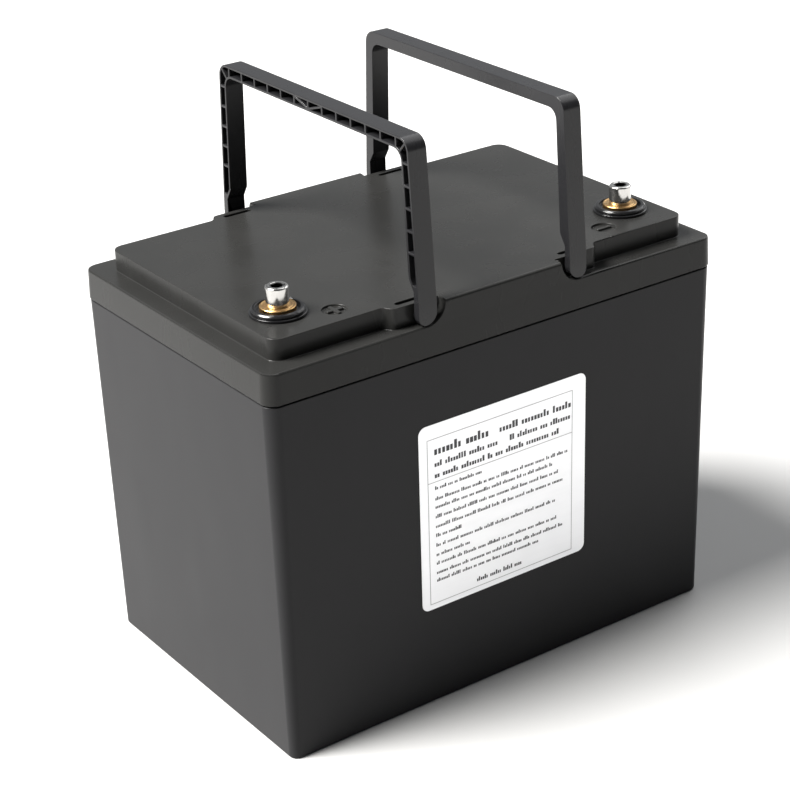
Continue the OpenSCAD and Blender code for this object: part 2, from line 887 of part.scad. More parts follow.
module lead_lugs() {
    color("lightgray") {
        for (side = [-1, 1]) {
            translate([side * terminal_x, -terminal_y, lug_z])
                rotate([0, 0, 90])
                    ring_lug(post_radius + thread_play);
            translate([board_lug_x, side * board_width / 4, board_top])
                ring_lug(stud_radius);
        }
        for (i = [1, 4])
            translate([link_x, cell_y(i), upper_pole])
                rotate([0, -90, 180])
                    ring_lug(stud_radius + thread_play);
    }
}

lead_depth = barrel_start + 3;
lead_mouth = barrel_start + barrel_length + 4;
lug_middle = lug_thickness / 2;
high_run = body_height - 22;

module positive_lead() {
    route = [
        [link_x + lug_middle, cell_y(4), upper_pole + lead_depth],
        [link_x + lug_middle, cell_y(4), upper_pole + lead_mouth - 4],
        [link_x + lug_middle, cell_y(4), upper_pole + lead_mouth + 6],
        [link_x - 6, cell_y(4) - 2, upper_pole + lead_mouth + 22],
        [stack_x1 - 40, cell_y(4) - 8, high_run - 8],
        [0, stack_y / 2, high_run - 4],
        [-terminal_x + 40, 18, high_run],
        [-terminal_x + 8, 2, high_run + 8],
        [-terminal_x, -terminal_y + lead_mouth + 6, lug_z + lug_middle],
        [-terminal_x, -terminal_y + lead_mouth - 4, lug_z + lug_middle],
        [-terminal_x, -terminal_y + lead_depth, lug_z + lug_middle]
    ];
    color([0.75, 0.06, 0.05])
        lead_tube(route, lead_radius, 40, 12);
}

module negative_cell_lead() {
    route = [
        [link_x + lug_middle, cell_y(1), upper_pole + lead_depth],
        [link_x + lug_middle, cell_y(1), upper_pole + lead_mouth - 4],
        [link_x + lug_middle, cell_y(1), upper_pole + lead_mouth + 6],
        [link_x + 6, cell_y(1) + 9, board_top + 16],
        [link_x + 6, -board_width / 4 - 6, board_top + 8],
        [board_lug_x + lead_mouth + 5, -board_width / 4, board_top + lug_middle],
        [board_lug_x + lead_mouth - 4, -board_width / 4, board_top + lug_middle],
        [board_lug_x + lead_depth, -board_width / 4, board_top + lug_middle]
    ];
    color([0.08, 0.08, 0.09])
        lead_tube(route, lead_radius, 28, 12);
}

module negative_output_lead() {
    route = [
        [board_lug_x + lead_depth, board_width / 4, board_top + lug_middle],
        [board_lug_x + lead_mouth - 4, board_width / 4, board_top + lug_middle],
        [board_lug_x + lead_mouth + 5, board_width / 4, board_top + lug_middle],
        [terminal_x + 2, board_width / 4 - 1, board_top + 14],
        [terminal_x + 5, board_width / 4 - 6, high_run - 10],
        [terminal_x + 2, 0, high_run + 8],
        [terminal_x, -terminal_y + lead_mouth + 6, lug_z + lug_middle],
        [terminal_x, -terminal_y + lead_mouth - 4, lug_z + lug_middle],
        [terminal_x, -terminal_y + lead_depth, lug_z + lug_middle]
    ];
    color([0.08, 0.08, 0.09])
        lead_tube(route, lead_radius, 32, 12);
}

module balance_wires() {
    wire_radius = 0.8;
    wire_start = plug_x + plug_size.x + 0.2;
    ends = [
        [cell_y(1) + 9, upper_pole - 9],
        [cell_y(1) + cell_pitch / 2, lower_pole],
        [0, upper_pole],
        [cell_y(3) + cell_pitch / 2, lower_pole],
        [cell_y(4) - 9, upper_pole - 9]
    ];
    color("crimson")
        for (k = [0:4]) {
            fan = (k - 2) * 2.6;
            on_link = k > 0 && k < 4;
            target = on_link ? link_x + link_thickness : stack_x1;
            outer_run = on_link ? link_x + 18 : link_x + 13;
            route = [
                [wire_start, fan, board_top + 3.4],
                [wire_start + 6, fan, board_top + 3.4],
                [wire_start + 16, fan, board_top + 2],
                [outer_run - 3, fan * 1.2, board_top - 4],
                [outer_run, ends[k][0] * 0.4 + fan, upper_pole + 14],
                [outer_run, ends[k][0], ends[k][1] + 10],
                [target + 8, ends[k][0], ends[k][1]],
                [target + 3, ends[k][0], ends[k][1]],
                [target, ends[k][0], ends[k][1]]
            ];
            lead_tube(route, wire_radius, 28, 8);
        }
}

module temperature_probe() {
    color("black")
        rod_x([stack_x1, cell_y(2), lower_pole + 22], 3, 6);
}

// Handle seen along X: a bow of the given inset from its outer faces, on the +Y half
function handle_corners(inset) = [
    [0, grip_top - inset, 0],
    [0, grip_bottom + inset, 0],
    [leg_inner_high + inset, grip_bottom + inset, inner_corner + inset],
    [leg_inner_low + inset, joggle_high + (inset > 0 ? inset / 2 : 0), inset > 0 ? 0 : 1],
    [tongue_y + inset, joggle_low + inset / 2, inset > 0 ? 0 : 1],
    [tongue_y + inset, foot_z - JOIN + inset, 0],
    [leg_face_y - inset, foot_z - JOIN + inset, 0],
    [leg_face_y - inset, lean_start, 0],
    [leg_face_y - leg_lean - inset, grip_top - inset, handle_corner - inset]
];

module handle_bow(inset) {
    for (side = [0, 1])
        mirror([side, 0, 0])
            polygon(rounded_outline(handle_corners(inset)));
}

module rib_line(a, b) {
    along = b - a;
    translate(a)
        rotate(atan2(along.y, along.x))
            translate([0, -rib_wall / 2])
                square([norm(along), rib_wall]);
}

// The pocketed face: what is left between the walls and the ribs
module handle_pockets_2d() {
    reach = leg_inner_high - inner_corner + 2;
    centre_cell = reach / (bar_pockets + 1);
    bar_pitch = (reach - centre_cell) / bar_pockets;
    leg_top = grip_bottom - inner_corner;
    leg_pitch = (leg_top - joggle_high - 2) / leg_pockets;
    past = 3;
    difference() {
        intersection() {
            handle_bow(rib_wall);
            translate([-body_width, joggle_low + 3])
                square([2 * body_width, handle_reach]);
        }
        rib_line([0, grip_bottom - past], [0, grip_top + past]);
        for (side = [-1, 1]) {
            for (k = [0:bar_pockets])
                rib_line(
                    [side * (centre_cell + k * bar_pitch), grip_bottom - past],
                    [side * (centre_cell + k * bar_pitch), grip_top + past]
                );
            rib_line([0, grip_bottom + rib_wall], [side * centre_cell, grip_top - rib_wall]);
            rib_line(
                [side * (leg_inner_high - 2), grip_bottom - 2],
                [side * (leg_face_y - leg_lean), grip_top]
            );
            for (k = [0:leg_pockets - 1])
                rib_line(
                    [side * (leg_inner_high - past), leg_top - k * leg_pitch],
                    [side * (leg_face_y + past), leg_top - k * leg_pitch]
                );
        }
    }
}

// Side view of the foot: rounded about the hinge towards the end, and more widely towards the middle
module foot_profile() {
    tall = grip_top + PAST;
    union() {
        intersection() {
            translate([0, pivot_z])
                circle(r = outer_side);
            translate([-outer_side, pivot_z - outer_side])
                square([outer_side, outer_side]);
        }
        translate([-outer_side, pivot_z])
            square([outer_side, tall - pivot_z]);
        intersection() {
            translate([0, pivot_z - outer_side + inner_side])
                circle(r = inner_side);
            translate([0, pivot_z - outer_side])
                square([inner_side, inner_side]);
        }
        translate([0, pivot_z - outer_side + inner_side])
            square([inner_side, tall - pivot_z + outer_side - inner_side]);
    }
}

// The handle at the -X end; its pockets face -X
module handle() {
    color(SHELL_BLACK)
        translate([-pivot_x, 0, 0])
            union() {
                difference() {
                    intersection() {
                        translate([-outer_side, 0, 0])
                            rotate([90, 0, 90])
                                linear_extrude(handle_width)
                                    handle_bow(0);
                        translate([0, body_width, 0])
                            rotate([90, 0, 0])
                                linear_extrude(2 * body_width)
                                    foot_profile();
                    }
                    translate([-outer_side - PAST, 0, 0])
                        rotate([90, 0, 90])
                            linear_extrude(handle_width - web_thickness + PAST)
                                handle_pockets_2d();
                }
                for (side = [-1, 1])
                    translate([0, side * (tongue_y + JOIN), pivot_z])
                        rotate([side * 90, 0, 0]) {
                            cylinder(r = pin_boss, h = tongue_y + JOIN - seat_y - foot_play);
                            cylinder(r = pin_radius, h = tongue_y + JOIN - seat_y + wall + foot_play);
                        }
            }
}

case_tub();
lid();
lid_seal();
front_label();
terminal_collar(-1);  // positive_collar
terminal_collar(1);  // negative_collar
terminal_post(-1);  // positive_post
terminal_post(1);  // negative_post
terminal_bolt(-1);  // positive_bolt
terminal_bolt(1);  // negative_bolt
post_o_rings();
post_nuts();
lead_nuts();
cell_can(1);  // cell_1
cell_can(2);  // cell_2
cell_can(3);  // cell_3
cell_can(4);  // cell_4
cell_caps();
electrode_rolls();
cell_poles();
cell_vents();
cell_link(1, lower_pole);  // cell_link_1
cell_link(2, upper_pole);  // cell_link_2
cell_link(3, lower_pole);  // cell_link_3
pole_nuts();
cell_spacers();
stack_straps();
base_pad();
side_pads();
end_pad_foam();
stack_cover();
board_standoffs();
circuit_board();
transistors();
heat_sink();
board_screws();
balance_socket();
balance_plug();
board_capacitors();
positive_lead();
negative_cell_lead();
negative_output_lead();
lead_lugs();
balance_wires();
temperature_probe();
handle();  // handle_left
rotate(180) handle();  // handle_right
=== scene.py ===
# %% [markdown]
# # A battery pack with two folding handles
#
# This lesson dresses a finished CAD model of a battery pack. The frame gives every part's real place and
# size in metres, so nothing is fitted by eye. We build the pieces that need soft edges, print or fine
# relief as new meshes, and give every other part a procedural material of its own.

# %% Load the frame
import json
import math
import random

import bmesh
import bpy
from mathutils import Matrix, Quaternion, Vector, noise
from mathutils.bvhtree import BVHTree


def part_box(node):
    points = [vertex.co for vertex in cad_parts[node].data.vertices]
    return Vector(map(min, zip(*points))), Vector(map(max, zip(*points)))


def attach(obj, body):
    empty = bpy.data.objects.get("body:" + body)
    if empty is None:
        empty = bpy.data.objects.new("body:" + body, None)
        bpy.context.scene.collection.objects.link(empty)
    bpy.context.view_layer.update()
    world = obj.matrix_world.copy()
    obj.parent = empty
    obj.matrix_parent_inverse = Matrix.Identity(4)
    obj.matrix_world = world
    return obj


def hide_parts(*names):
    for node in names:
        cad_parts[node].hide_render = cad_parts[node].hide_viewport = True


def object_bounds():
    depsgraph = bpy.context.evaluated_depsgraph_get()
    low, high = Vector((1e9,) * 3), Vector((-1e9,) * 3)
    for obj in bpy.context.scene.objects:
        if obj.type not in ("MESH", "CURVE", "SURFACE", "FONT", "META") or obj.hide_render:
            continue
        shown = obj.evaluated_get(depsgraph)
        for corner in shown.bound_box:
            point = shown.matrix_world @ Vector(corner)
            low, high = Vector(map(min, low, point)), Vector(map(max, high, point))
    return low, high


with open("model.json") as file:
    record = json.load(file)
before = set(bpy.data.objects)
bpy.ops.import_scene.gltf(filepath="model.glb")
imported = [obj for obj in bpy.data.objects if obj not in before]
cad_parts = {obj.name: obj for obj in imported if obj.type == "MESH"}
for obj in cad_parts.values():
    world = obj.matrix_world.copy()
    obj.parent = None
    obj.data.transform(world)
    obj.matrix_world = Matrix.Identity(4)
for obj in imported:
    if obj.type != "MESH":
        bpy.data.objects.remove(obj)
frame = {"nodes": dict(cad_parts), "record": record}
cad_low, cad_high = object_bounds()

MM = 0.001
nodes = frame["nodes"]
print("CAD nodes:", len(nodes), "| size in mm:", [round(s / MM, 1) for s in cad_high - cad_low])

# %% [markdown]
# ## The camera
#
# A camera can be placed by typing coordinates, or by saying what it looks at and from which side. The
# second way is easier to read: an aim point near the middle of the pack, an azimuth and an elevation round
# it, a distance, and a slight roll. The lens is long, so the upright edges of the case stay almost
# parallel.

# %% Place the camera
AIM = Vector((-0.0014, 0.0067, 0.1199))
AZIMUTH = math.radians(-34.50)
ELEVATION = math.radians(25.225)
ROLL = math.radians(-2.22)
DISTANCE = 1.0837
LENS = 97.68


def make_camera():
    camera = bpy.data.objects.new("camera", bpy.data.cameras.new("camera"))
    bpy.context.scene.collection.objects.link(camera)
    back = Vector((
        math.sin(AZIMUTH) * math.cos(ELEVATION),
        -math.cos(AZIMUTH) * math.cos(ELEVATION),
        math.sin(ELEVATION),
    ))
    camera.location = AIM + back * DISTANCE
    camera.rotation_mode = "QUATERNION"
    camera.rotation_quaternion = (-back).to_track_quat("-Z", "Y") @ Quaternion((0, 0, 1), ROLL)
    camera.data.sensor_width = 36
    camera.data.lens = LENS
    camera.data.clip_start = 0.01
    camera.data.clip_end = 50
    bpy.context.scene.camera = camera
    return camera


camera = make_camera()
print("camera at", [round(c, 3) for c in camera.location])

# %% [markdown]
# ## Floor and studio light
#
# A dark, shiny object is lit mostly by what it mirrors. A wide pale floor gives the case sides something
# bright to mirror, and one big soft light from the left makes the left end lighter than the label side.
# Large lights far away are suns with a wide angle: their light is even, and their shadows stay soft. The
# key light stands high, because a low one would blaze on the flat lid whenever someone looks at the pack
# from the far side. The surroundings are pale behind the pack and dark behind the camera, and that dark
# half gives the bright bolts their dark bands.

# %% Make the floor, the lights and the surroundings
FLOOR_SIDE = 16.0
FLOOR_DROP = 0.05 * MM


def make_floor():
    half = FLOOR_SIDE / 2
    corners = [(-half, -half), (half, -half), (half, half), (-half, half)]
    mesh = bpy.data.meshes.new("floor")
    mesh.from_pydata([(x, y, cad_low.z - FLOOR_DROP) for x, y in corners], [], [(0, 1, 2, 3)])
    floor = bpy.data.objects.new("floor", mesh)
    bpy.context.scene.collection.objects.link(floor)
    material = bpy.data.materials.new("studio_floor")
    material.use_nodes = True
    shader = material.node_tree.nodes["Principled BSDF"]
    shader.inputs["Base Color"].default_value = (0.38, 0.38, 0.38, 1)
    shader.inputs["Roughness"].default_value = 0.9
    mesh.materials.append(material)
    return floor


def make_sun(name, azimuth, elevation, strength, soft, colour):
    """A distant soft light. Azimuth 0 is the label side and -90 is the left end."""
    sun = bpy.data.objects.new(name, bpy.data.lights.new(name, "SUN"))
    bpy.context.scene.collection.objects.link(sun)
    a, e = math.radians(azimuth), math.radians(elevation)
    towards = Vector((math.sin(a) * math.cos(e), -math.cos(a) * math.cos(e), math.sin(e)))
    sun.rotation_mode = "QUATERNION"
    sun.rotation_quaternion = towards.to_track_quat("Z", "Y")
    sun.data.energy = strength
    sun.data.angle = math.radians(soft)
    sun.data.color = colour
    return sun


def make_world(colour, open_side, camera_side):
    """Pale surroundings that grow dark behind the camera, as a studio does."""
    world = bpy.data.worlds.new("studio")
    world.use_nodes = True
    tree = world.node_tree
    background = tree.nodes["Background"]
    background.inputs["Color"].default_value = (*colour, 1)
    direction = tree.nodes.new("ShaderNodeTexCoord")
    towards = tree.nodes.new("ShaderNodeVectorMath")
    towards.operation = "DOT_PRODUCT"
    towards.inputs[1].default_value = (math.sin(AZIMUTH), -math.cos(AZIMUTH), 0)
    fade = tree.nodes.new("ShaderNodeMapRange")
    fade.inputs["From Min"].default_value = -0.5
    fade.inputs["From Max"].default_value = 0.6
    fade.inputs["To Min"].default_value = open_side
    fade.inputs["To Max"].default_value = camera_side
    tree.links.new(direction.outputs["Generated"], towards.inputs[0])
    tree.links.new(towards.outputs["Value"], fade.inputs["Value"])
    tree.links.new(fade.outputs[0], background.inputs["Strength"])
    bpy.context.scene.world = world


make_floor()
make_sun("key_light", -113, 50, 14.8, 32, (1.0, 0.985, 0.96))
make_sun("fill_light", 104, 46, 1.6, 60, (1.0, 1.0, 1.0))
make_world((0.94, 0.97, 1.0), 0.42, 0.03)
bpy.context.scene.view_settings.view_transform = "Standard"
print("floor, two suns and surroundings that fade behind the camera")

# %% [markdown]
# ## Small helpers for materials
#
# Every finish starts from the Principled shader. A value that is the same everywhere is typed into the
# shader's own socket. Only what varies over the surface is wired up: the colour, the roughness and the
# bump. All patterns read Object coordinates, which are metres here, so a noise scale of 1000 gives grains
# about a millimetre wide.

# %% Material helpers


def add_node(tree, kind, settings, inputs):
    """Adds a node. An input gets a value or a socket, and goes by its name or, as in in0, by its number."""
    made = tree.nodes.new(kind)
    for key, value in settings.items():
        setattr(made, key, value)
    for key, value in inputs.items():
        by_number = key.startswith("in")
        socket = made.inputs[int(key[2:])] if by_number else made.inputs[key.replace("_", " ")]
        if isinstance(value, bpy.types.NodeSocket):
            tree.links.new(value, socket)
        else:
            socket.default_value = value
    return made


class Finish:
    """A material under construction, with short names for the nodes that it needs."""

    def __init__(self, name, colour, roughness, **sockets):
        self.material = bpy.data.materials.new(name)
        self.material.use_nodes = True
        self.material.diffuse_color = (*colour, 1)
        self.tree = self.material.node_tree
        self.shader = self.tree.nodes["Principled BSDF"]
        self.shader.inputs["Base Color"].default_value = (*colour, 1)
        self.shader.inputs["Roughness"].default_value = roughness
        for socket, value in sockets.items():
            self.shader.inputs[socket.replace("_", " ").title().replace("Ior", "IOR")].default_value = value
        self.colour = colour
        self.height = None
        self.place = self.node("ShaderNodeTexCoord").outputs["Object"]

    def node(self, kind, settings=None, **inputs):
        return add_node(self.tree, kind, settings or {}, inputs)

    def maths(self, operation, a, b=0.0):
        return self.node("ShaderNodeMath", {"operation": operation}, in0=a, in1=b).outputs[0]

    def stretched(self, scale):
        """Object coordinates, stretched along an axis where its scale is below one."""
        return self.node("ShaderNodeMapping", Vector=self.place, Scale=scale).outputs[0]

    def noise(self, scale, detail, vector=None, distortion=0.0):
        made = self.node(
            "ShaderNodeTexNoise",
            Vector=vector or self.place,
            Scale=scale,
            Detail=detail,
            Distortion=distortion,
        )
        return made.outputs[0]

    def cells(self, scale):
        return self.node("ShaderNodeTexVoronoi", Vector=self.place, Scale=scale).outputs["Distance"]

    def spread(self, value, low, high, from_low=0.3, from_high=0.7):
        """Maps a pattern onto a range of values."""
        return self.node(
            "ShaderNodeMapRange",
            {"clamp": True},
            Value=value,
            From_Min=from_low,
            From_Max=from_high,
            To_Min=low,
            To_Max=high,
        ).outputs[0]

    def tint(self, mask, other, under=None):
        """Blends the base colour towards another colour where the mask is high."""
        mix = self.node("ShaderNodeMix", {"data_type": "RGBA"}, Factor=mask)
        if under is None:
            mix.inputs[6].default_value = (*self.colour, 1)
        else:
            self.tree.links.new(under, mix.inputs[6])
        mix.inputs[7].default_value = (*other, 1)
        self.tree.links.new(mix.outputs[2], self.shader.inputs["Base Color"])
        return mix.outputs[2]

    def shine(self, value):
        self.tree.links.new(value, self.shader.inputs["Roughness"])

    def relief(self, height, depth, strength=1.0):
        """Adds a bump of the given depth in metres on top of any relief that is already there."""
        bump = self.node("ShaderNodeBump", Height=height, Distance=depth, Strength=strength)
        if self.height is not None:
            self.tree.links.new(self.height, bump.inputs["Normal"])
        self.height = bump.outputs[0]
        self.tree.links.new(self.height, self.shader.inputs["Normal"])


finishes = {}
print("helpers ready")

# %% [markdown]
# ## The black mouldings
#
# Case, lid and handles are injection moulded from black plastic. The steel mould was polished on the
# outside, which leaves a satin skin with a very fine grain, slow waves where the wall cooled, and faint
# smears from handling. The waves matter most: they bend the mirror images slightly, which is what makes
# plastic look like plastic.

# %% Finish of the mouldings


def moulded_plastic(name, colour, roughness, grain, waves, specular):
    finish = Finish(name, colour, roughness, specular_ior_level=specular)
    smears = finish.noise(38, 4, finish.stretched((1, 1, 0.35)), 0.4)
    speckle = finish.noise(5200, 1)
    finish.tint(finish.spread(smears, 0, 0.4), tuple(c * 1.2 + 0.001 for c in colour))
    finish.shine(finish.spread(smears, roughness - 0.03, roughness + 0.04))
    finish.relief(finish.noise(16, 1), waves)
    finish.relief(speckle, grain, 0.6)
    return finish.material


CASE_BLACK = (0.0175, 0.0175, 0.0185)
HANDLE_BLACK = (0.0095, 0.0095, 0.0105)
LID_BLACK = (0.0155, 0.0155, 0.015)
finishes["shell_black"] = moulded_plastic("case_moulding", CASE_BLACK, 0.36, 0.02 * MM, 0.4 * MM, 0.1)
finishes["handle_black"] = moulded_plastic("handle_moulding", HANDLE_BLACK, 0.28, 0.02 * MM, 0.15 * MM, 0.3)
lid_plastic = moulded_plastic("lid_moulding", LID_BLACK, 0.26, 0.01 * MM, 0.25 * MM, 0.14)
print("three black mouldings")

# %% [markdown]
# ## Making pieces
#
# A finished piece sits at the origin with its place in its mesh, just as the CAD parts do. One helper puts
# a bmesh into an object, another turns modifiers into plain mesh, and a third hands the piece over: it
# rides on a body, takes its material, by default the finish of its material slot, and hides the CAD parts
# that it stands for.

# %% Helpers for pieces


def place_mesh(name, bm):
    mesh = bpy.data.meshes.new(name)
    bm.to_mesh(mesh)
    bm.free()
    piece = bpy.data.objects.new(name, mesh)
    bpy.context.scene.collection.objects.link(piece)
    return piece


def bake(piece):
    """Turns the modifiers into plain mesh and removes them."""
    bpy.context.view_layer.update()
    evaluated = piece.evaluated_get(bpy.context.evaluated_depsgraph_get())
    mesh = bpy.data.meshes.new_from_object(evaluated)
    piece.modifiers.clear()
    piece.data = mesh
    return piece


def finish_piece(piece, body, slot, replaced, material=None):
    piece.data.materials.clear()
    piece.data.materials.append(material or finishes[slot])
    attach(piece, body)
    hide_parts(*replaced)
    print(f"{piece.name}: {len(piece.data.polygons)} faces, stands for {', '.join(replaced)}")
    return piece


def flat_face_shading(piece):
    """Smooth shading in which large flat faces stay flat."""
    piece.data.shade_smooth()
    weighted = piece.modifiers.new("flat_faces", "WEIGHTED_NORMAL")
    weighted.keep_sharp = True
    return bake(piece)


# How far a rounded corner may stand off the old surface, as a share of the rounding's width
REACH = 0.6
SHARP_ANGLE = 35


def soften(piece, width, segments=2):
    """Rounds every sharp edge, and draws back a point that a crowded corner throws out."""
    bevel = piece.modifiers.new("edge_rounding", "BEVEL")
    bevel.width = width
    bevel.segments = segments
    bevel.limit_method = "ANGLE"
    bevel.angle_limit = math.radians(SHARP_ANGLE)
    bevel.use_clamp_overlap = False
    corners = [v.co for v in piece.data.vertices]
    surface = BVHTree.FromPolygons(corners, [p.vertices for p in piece.data.polygons])
    bake(piece)
    strays = 0
    for vertex in piece.data.vertices:
        nearest, _, _, distance = surface.find_nearest(vertex.co)
        if distance > REACH * width:
            vertex.co = nearest
            strays += 1
    print(f"{piece.name}: {strays} corner points drawn back to the surface")
    return flat_face_shading(piece)


print("piece helpers ready")

# %% [markdown]
# ## The lid and the handles
#
# Lid and handles have many holes, ribs and curves that must stay exactly where the design has them, so
# modelling them again would only add errors. We copy the CAD mesh instead, weld its loose triangles, melt
# the flat ones into large faces and round every sharp edge a little. No moulding has a perfectly sharp
# edge, and the thin highlights on those small radii are what draws the shape.

# %% Copy, weld and round the mouldings
WELD = 0.002 * MM
FLAT_ANGLE = 0.4
LID_EDGE = 0.45 * MM
HANDLE_EDGE = 0.3 * MM


def welded_copy(node, name):
    bm = bmesh.new()
    bm.from_mesh(nodes[node].data)
    bmesh.ops.remove_doubles(bm, verts=bm.verts, dist=WELD)
    bmesh.ops.dissolve_limit(
        bm,
        angle_limit=math.radians(FLAT_ANGLE),
        use_dissolve_boundaries=False,
        verts=bm.verts,
        edges=bm.edges,
    )
    return place_mesh(name, bm)


lid = soften(welded_copy("lid", "lid_shell"), LID_EDGE)
finish_piece(lid, "pack", "shell_black", ["lid"], lid_plastic)
for side in ("left", "right"):
    handle = soften(welded_copy(f"handle_{side}", f"{side}_carry_handle"), HANDLE_EDGE)
    finish_piece(handle, f"{side}_handle", "handle_black", [f"handle_{side}"])

# %% [markdown]
# ## Geometry Nodes helper
#
# What repeats, or follows one rule, is made with Geometry Nodes. The tree gets named inputs for its sizes,
# so the same tree can make another size later. Each tree ends in Realize Instances and Set Material, and
# its result is turned into plain mesh straight away.

# %% Geometry Nodes helper


class Graph:
    """A Geometry Nodes tree under construction. Sizes become its named inputs."""

    def __init__(self, name, **sizes):
        self.tree = bpy.data.node_groups.new(name, "GeometryNodeTree")
        face = self.tree.interface
        face.new_socket("Geometry", in_out="INPUT", socket_type="NodeSocketGeometry")
        face.new_socket("Geometry", in_out="OUTPUT", socket_type="NodeSocketGeometry")
        self.identifiers = {}
        for label, value in sizes.items():
            kind = "NodeSocketInt" if isinstance(value, int) else "NodeSocketFloat"
            socket = face.new_socket(label.replace("_", " "), in_out="INPUT", socket_type=kind)
            socket.default_value = value
            self.identifiers[label] = socket.identifier
        self.entry = self.tree.nodes.new("NodeGroupInput")
        self.exit = self.tree.nodes.new("NodeGroupOutput")

    def size(self, label):
        return self.entry.outputs[label.replace("_", " ")]

    def node(self, kind, settings=None, **inputs):
        return add_node(self.tree, kind, settings or {}, inputs)

    def make(self, piece, geometry, material, **sizes):
        """Closes the tree, runs it on a piece with the given sizes and leaves plain mesh."""
        realized = self.node("GeometryNodeRealizeInstances", Geometry=geometry)
        coated = self.node("GeometryNodeSetMaterial", Geometry=realized.outputs[0], Material=material)
        self.tree.links.new(coated.outputs[0], self.exit.inputs[0])
        modifier = piece.modifiers.new(self.tree.name, "NODES")
        modifier.node_group = self.tree
        for label, value in sizes.items():
            modifier[self.identifiers[label]] = value
        return bake(piece)


def arc(centre, radius, start, end, steps):
    """Points of an arc in the plane, with angles in degrees."""
    return [
        (
            centre[0] + radius * math.cos(math.radians(start + (end - start) * i / steps)),
            centre[1] + radius * math.sin(math.radians(start + (end - start) * i / steps)),
        )
        for i in range(steps + 1)
    ]


def line_mesh(name, points):
    """A chain of edges, to be used as a profile."""
    mesh = bpy.data.meshes.new(name)
    mesh.from_pydata(points, [(i, i + 1) for i in range(len(points) - 1)], [])
    piece = bpy.data.objects.new(name, mesh)
    bpy.context.scene.collection.objects.link(piece)
    return piece


print("Geometry Nodes helper ready")

# %% [markdown]
# ## The case
#
# The case is a deep box whose sides lean inward towards the base, so that it slips out of its mould. All
# its horizontal sections are the same rectangle with a corner radius that grows with height, so it follows
# one rule: draw the wall's profile once and sweep it round that rectangle. The profile runs up the outside
# from a rounded base edge, over a rounded rim and down the inside. Two flat floors then close it.

# %% Sweep the case wall
RIM_CORNER = 6.5 * MM
BASE_CORNER = 4.4 * MM
CASE_WALL = 3.0 * MM
CASE_FLOOR = 3.5 * MM
BASE_ROUND = 1.4 * MM
BASE_ROUND_LEAN = 0.01 * MM
RIM_ROUND = 0.5 * MM
BASE_ROUND_STEPS = 6
RIM_ROUND_STEPS = 4
CASE_CORNER_STEPS = 14


def make_case():
    low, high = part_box("case_tub")
    height = high.z
    rail = BASE_CORNER
    draft = (RIM_CORNER - BASE_CORNER) / height
    base_centre = (BASE_CORNER - BASE_ROUND + BASE_ROUND_LEAN, BASE_ROUND)
    rim_centre = (RIM_CORNER - RIM_ROUND, height - RIM_ROUND)
    inner_rim_centre = (RIM_CORNER - CASE_WALL + RIM_ROUND, height - RIM_ROUND)
    outside = arc(base_centre, BASE_ROUND, -90, 0, BASE_ROUND_STEPS)
    rim = arc(rim_centre, RIM_ROUND, 0, 90, RIM_ROUND_STEPS)
    inner_rim = arc(inner_rim_centre, RIM_ROUND, 90, 180, RIM_ROUND_STEPS)
    inside = [(BASE_CORNER + draft * CASE_FLOOR - CASE_WALL, CASE_FLOOR)]
    # A swept profile's own Y axis ends up pointing down, so heights are entered with a minus sign
    profile = [(r - rail, -z, 0) for r, z in outside + rim + inner_rim + inside]
    wall = line_mesh("case_shell", profile)
    graph = Graph("swept_wall", Length=0.25, Width=0.16, Corner=0.004, Corner_Steps=12)
    rectangle = graph.node(
        "GeometryNodeCurvePrimitiveQuadrilateral", Width=graph.size("Length"), Height=graph.size("Width")
    )
    rounded = graph.node(
        "GeometryNodeFilletCurve",
        {"mode": "POLY"},
        Curve=rectangle.outputs[0],
        Radius=graph.size("Corner"),
        Count=graph.size("Corner_Steps"),
    )
    section = graph.node("GeometryNodeMeshToCurve", Mesh=graph.entry.outputs[0])
    swept = graph.node(
        "GeometryNodeCurveToMesh", Curve=rounded.outputs[0], Profile_Curve=section.outputs[0]
    )
    graph.make(
        wall,
        swept.outputs[0],
        finishes["shell_black"],
        Length=2 * (high.x - RIM_CORNER + rail),
        Width=2 * (high.y - RIM_CORNER + rail),
        Corner=rail,
        Corner_Steps=CASE_CORNER_STEPS,
    )
    return wall


def close_floors(piece):
    """Fills the open bottom and the open inner floor, and turns every face outwards."""
    bm = bmesh.new()
    bm.from_mesh(piece.data)
    bmesh.ops.remove_doubles(bm, verts=bm.verts, dist=WELD)
    bmesh.ops.holes_fill(bm, edges=[e for e in bm.edges if e.is_boundary], sides=0)
    bmesh.ops.recalc_face_normals(bm, faces=bm.faces)
    print("open edges left:", sum(e.is_boundary for e in bm.edges))
    bm.to_mesh(piece.data)
    bm.free()


case = make_case()
close_floors(case)
flat_face_shading(case)
finish_piece(case, "pack", "shell_black", ["case_tub"])
case_size = Vector(case.bound_box[6]) - Vector(case.bound_box[0])
print("case size in mm:", [round(side / MM, 2) for side in case_size])

# %% [markdown]
# ## Turned parts: collars, posts and bolts
#
# Collars, posts and bolts are round, so each is a profile turned about its own axis. One helper turns a
# profile of radius and height. A radius may also be a function of the angle, and that is how the hexagon
# socket is sunk into a round head without any cutting.

# %% Turning helper


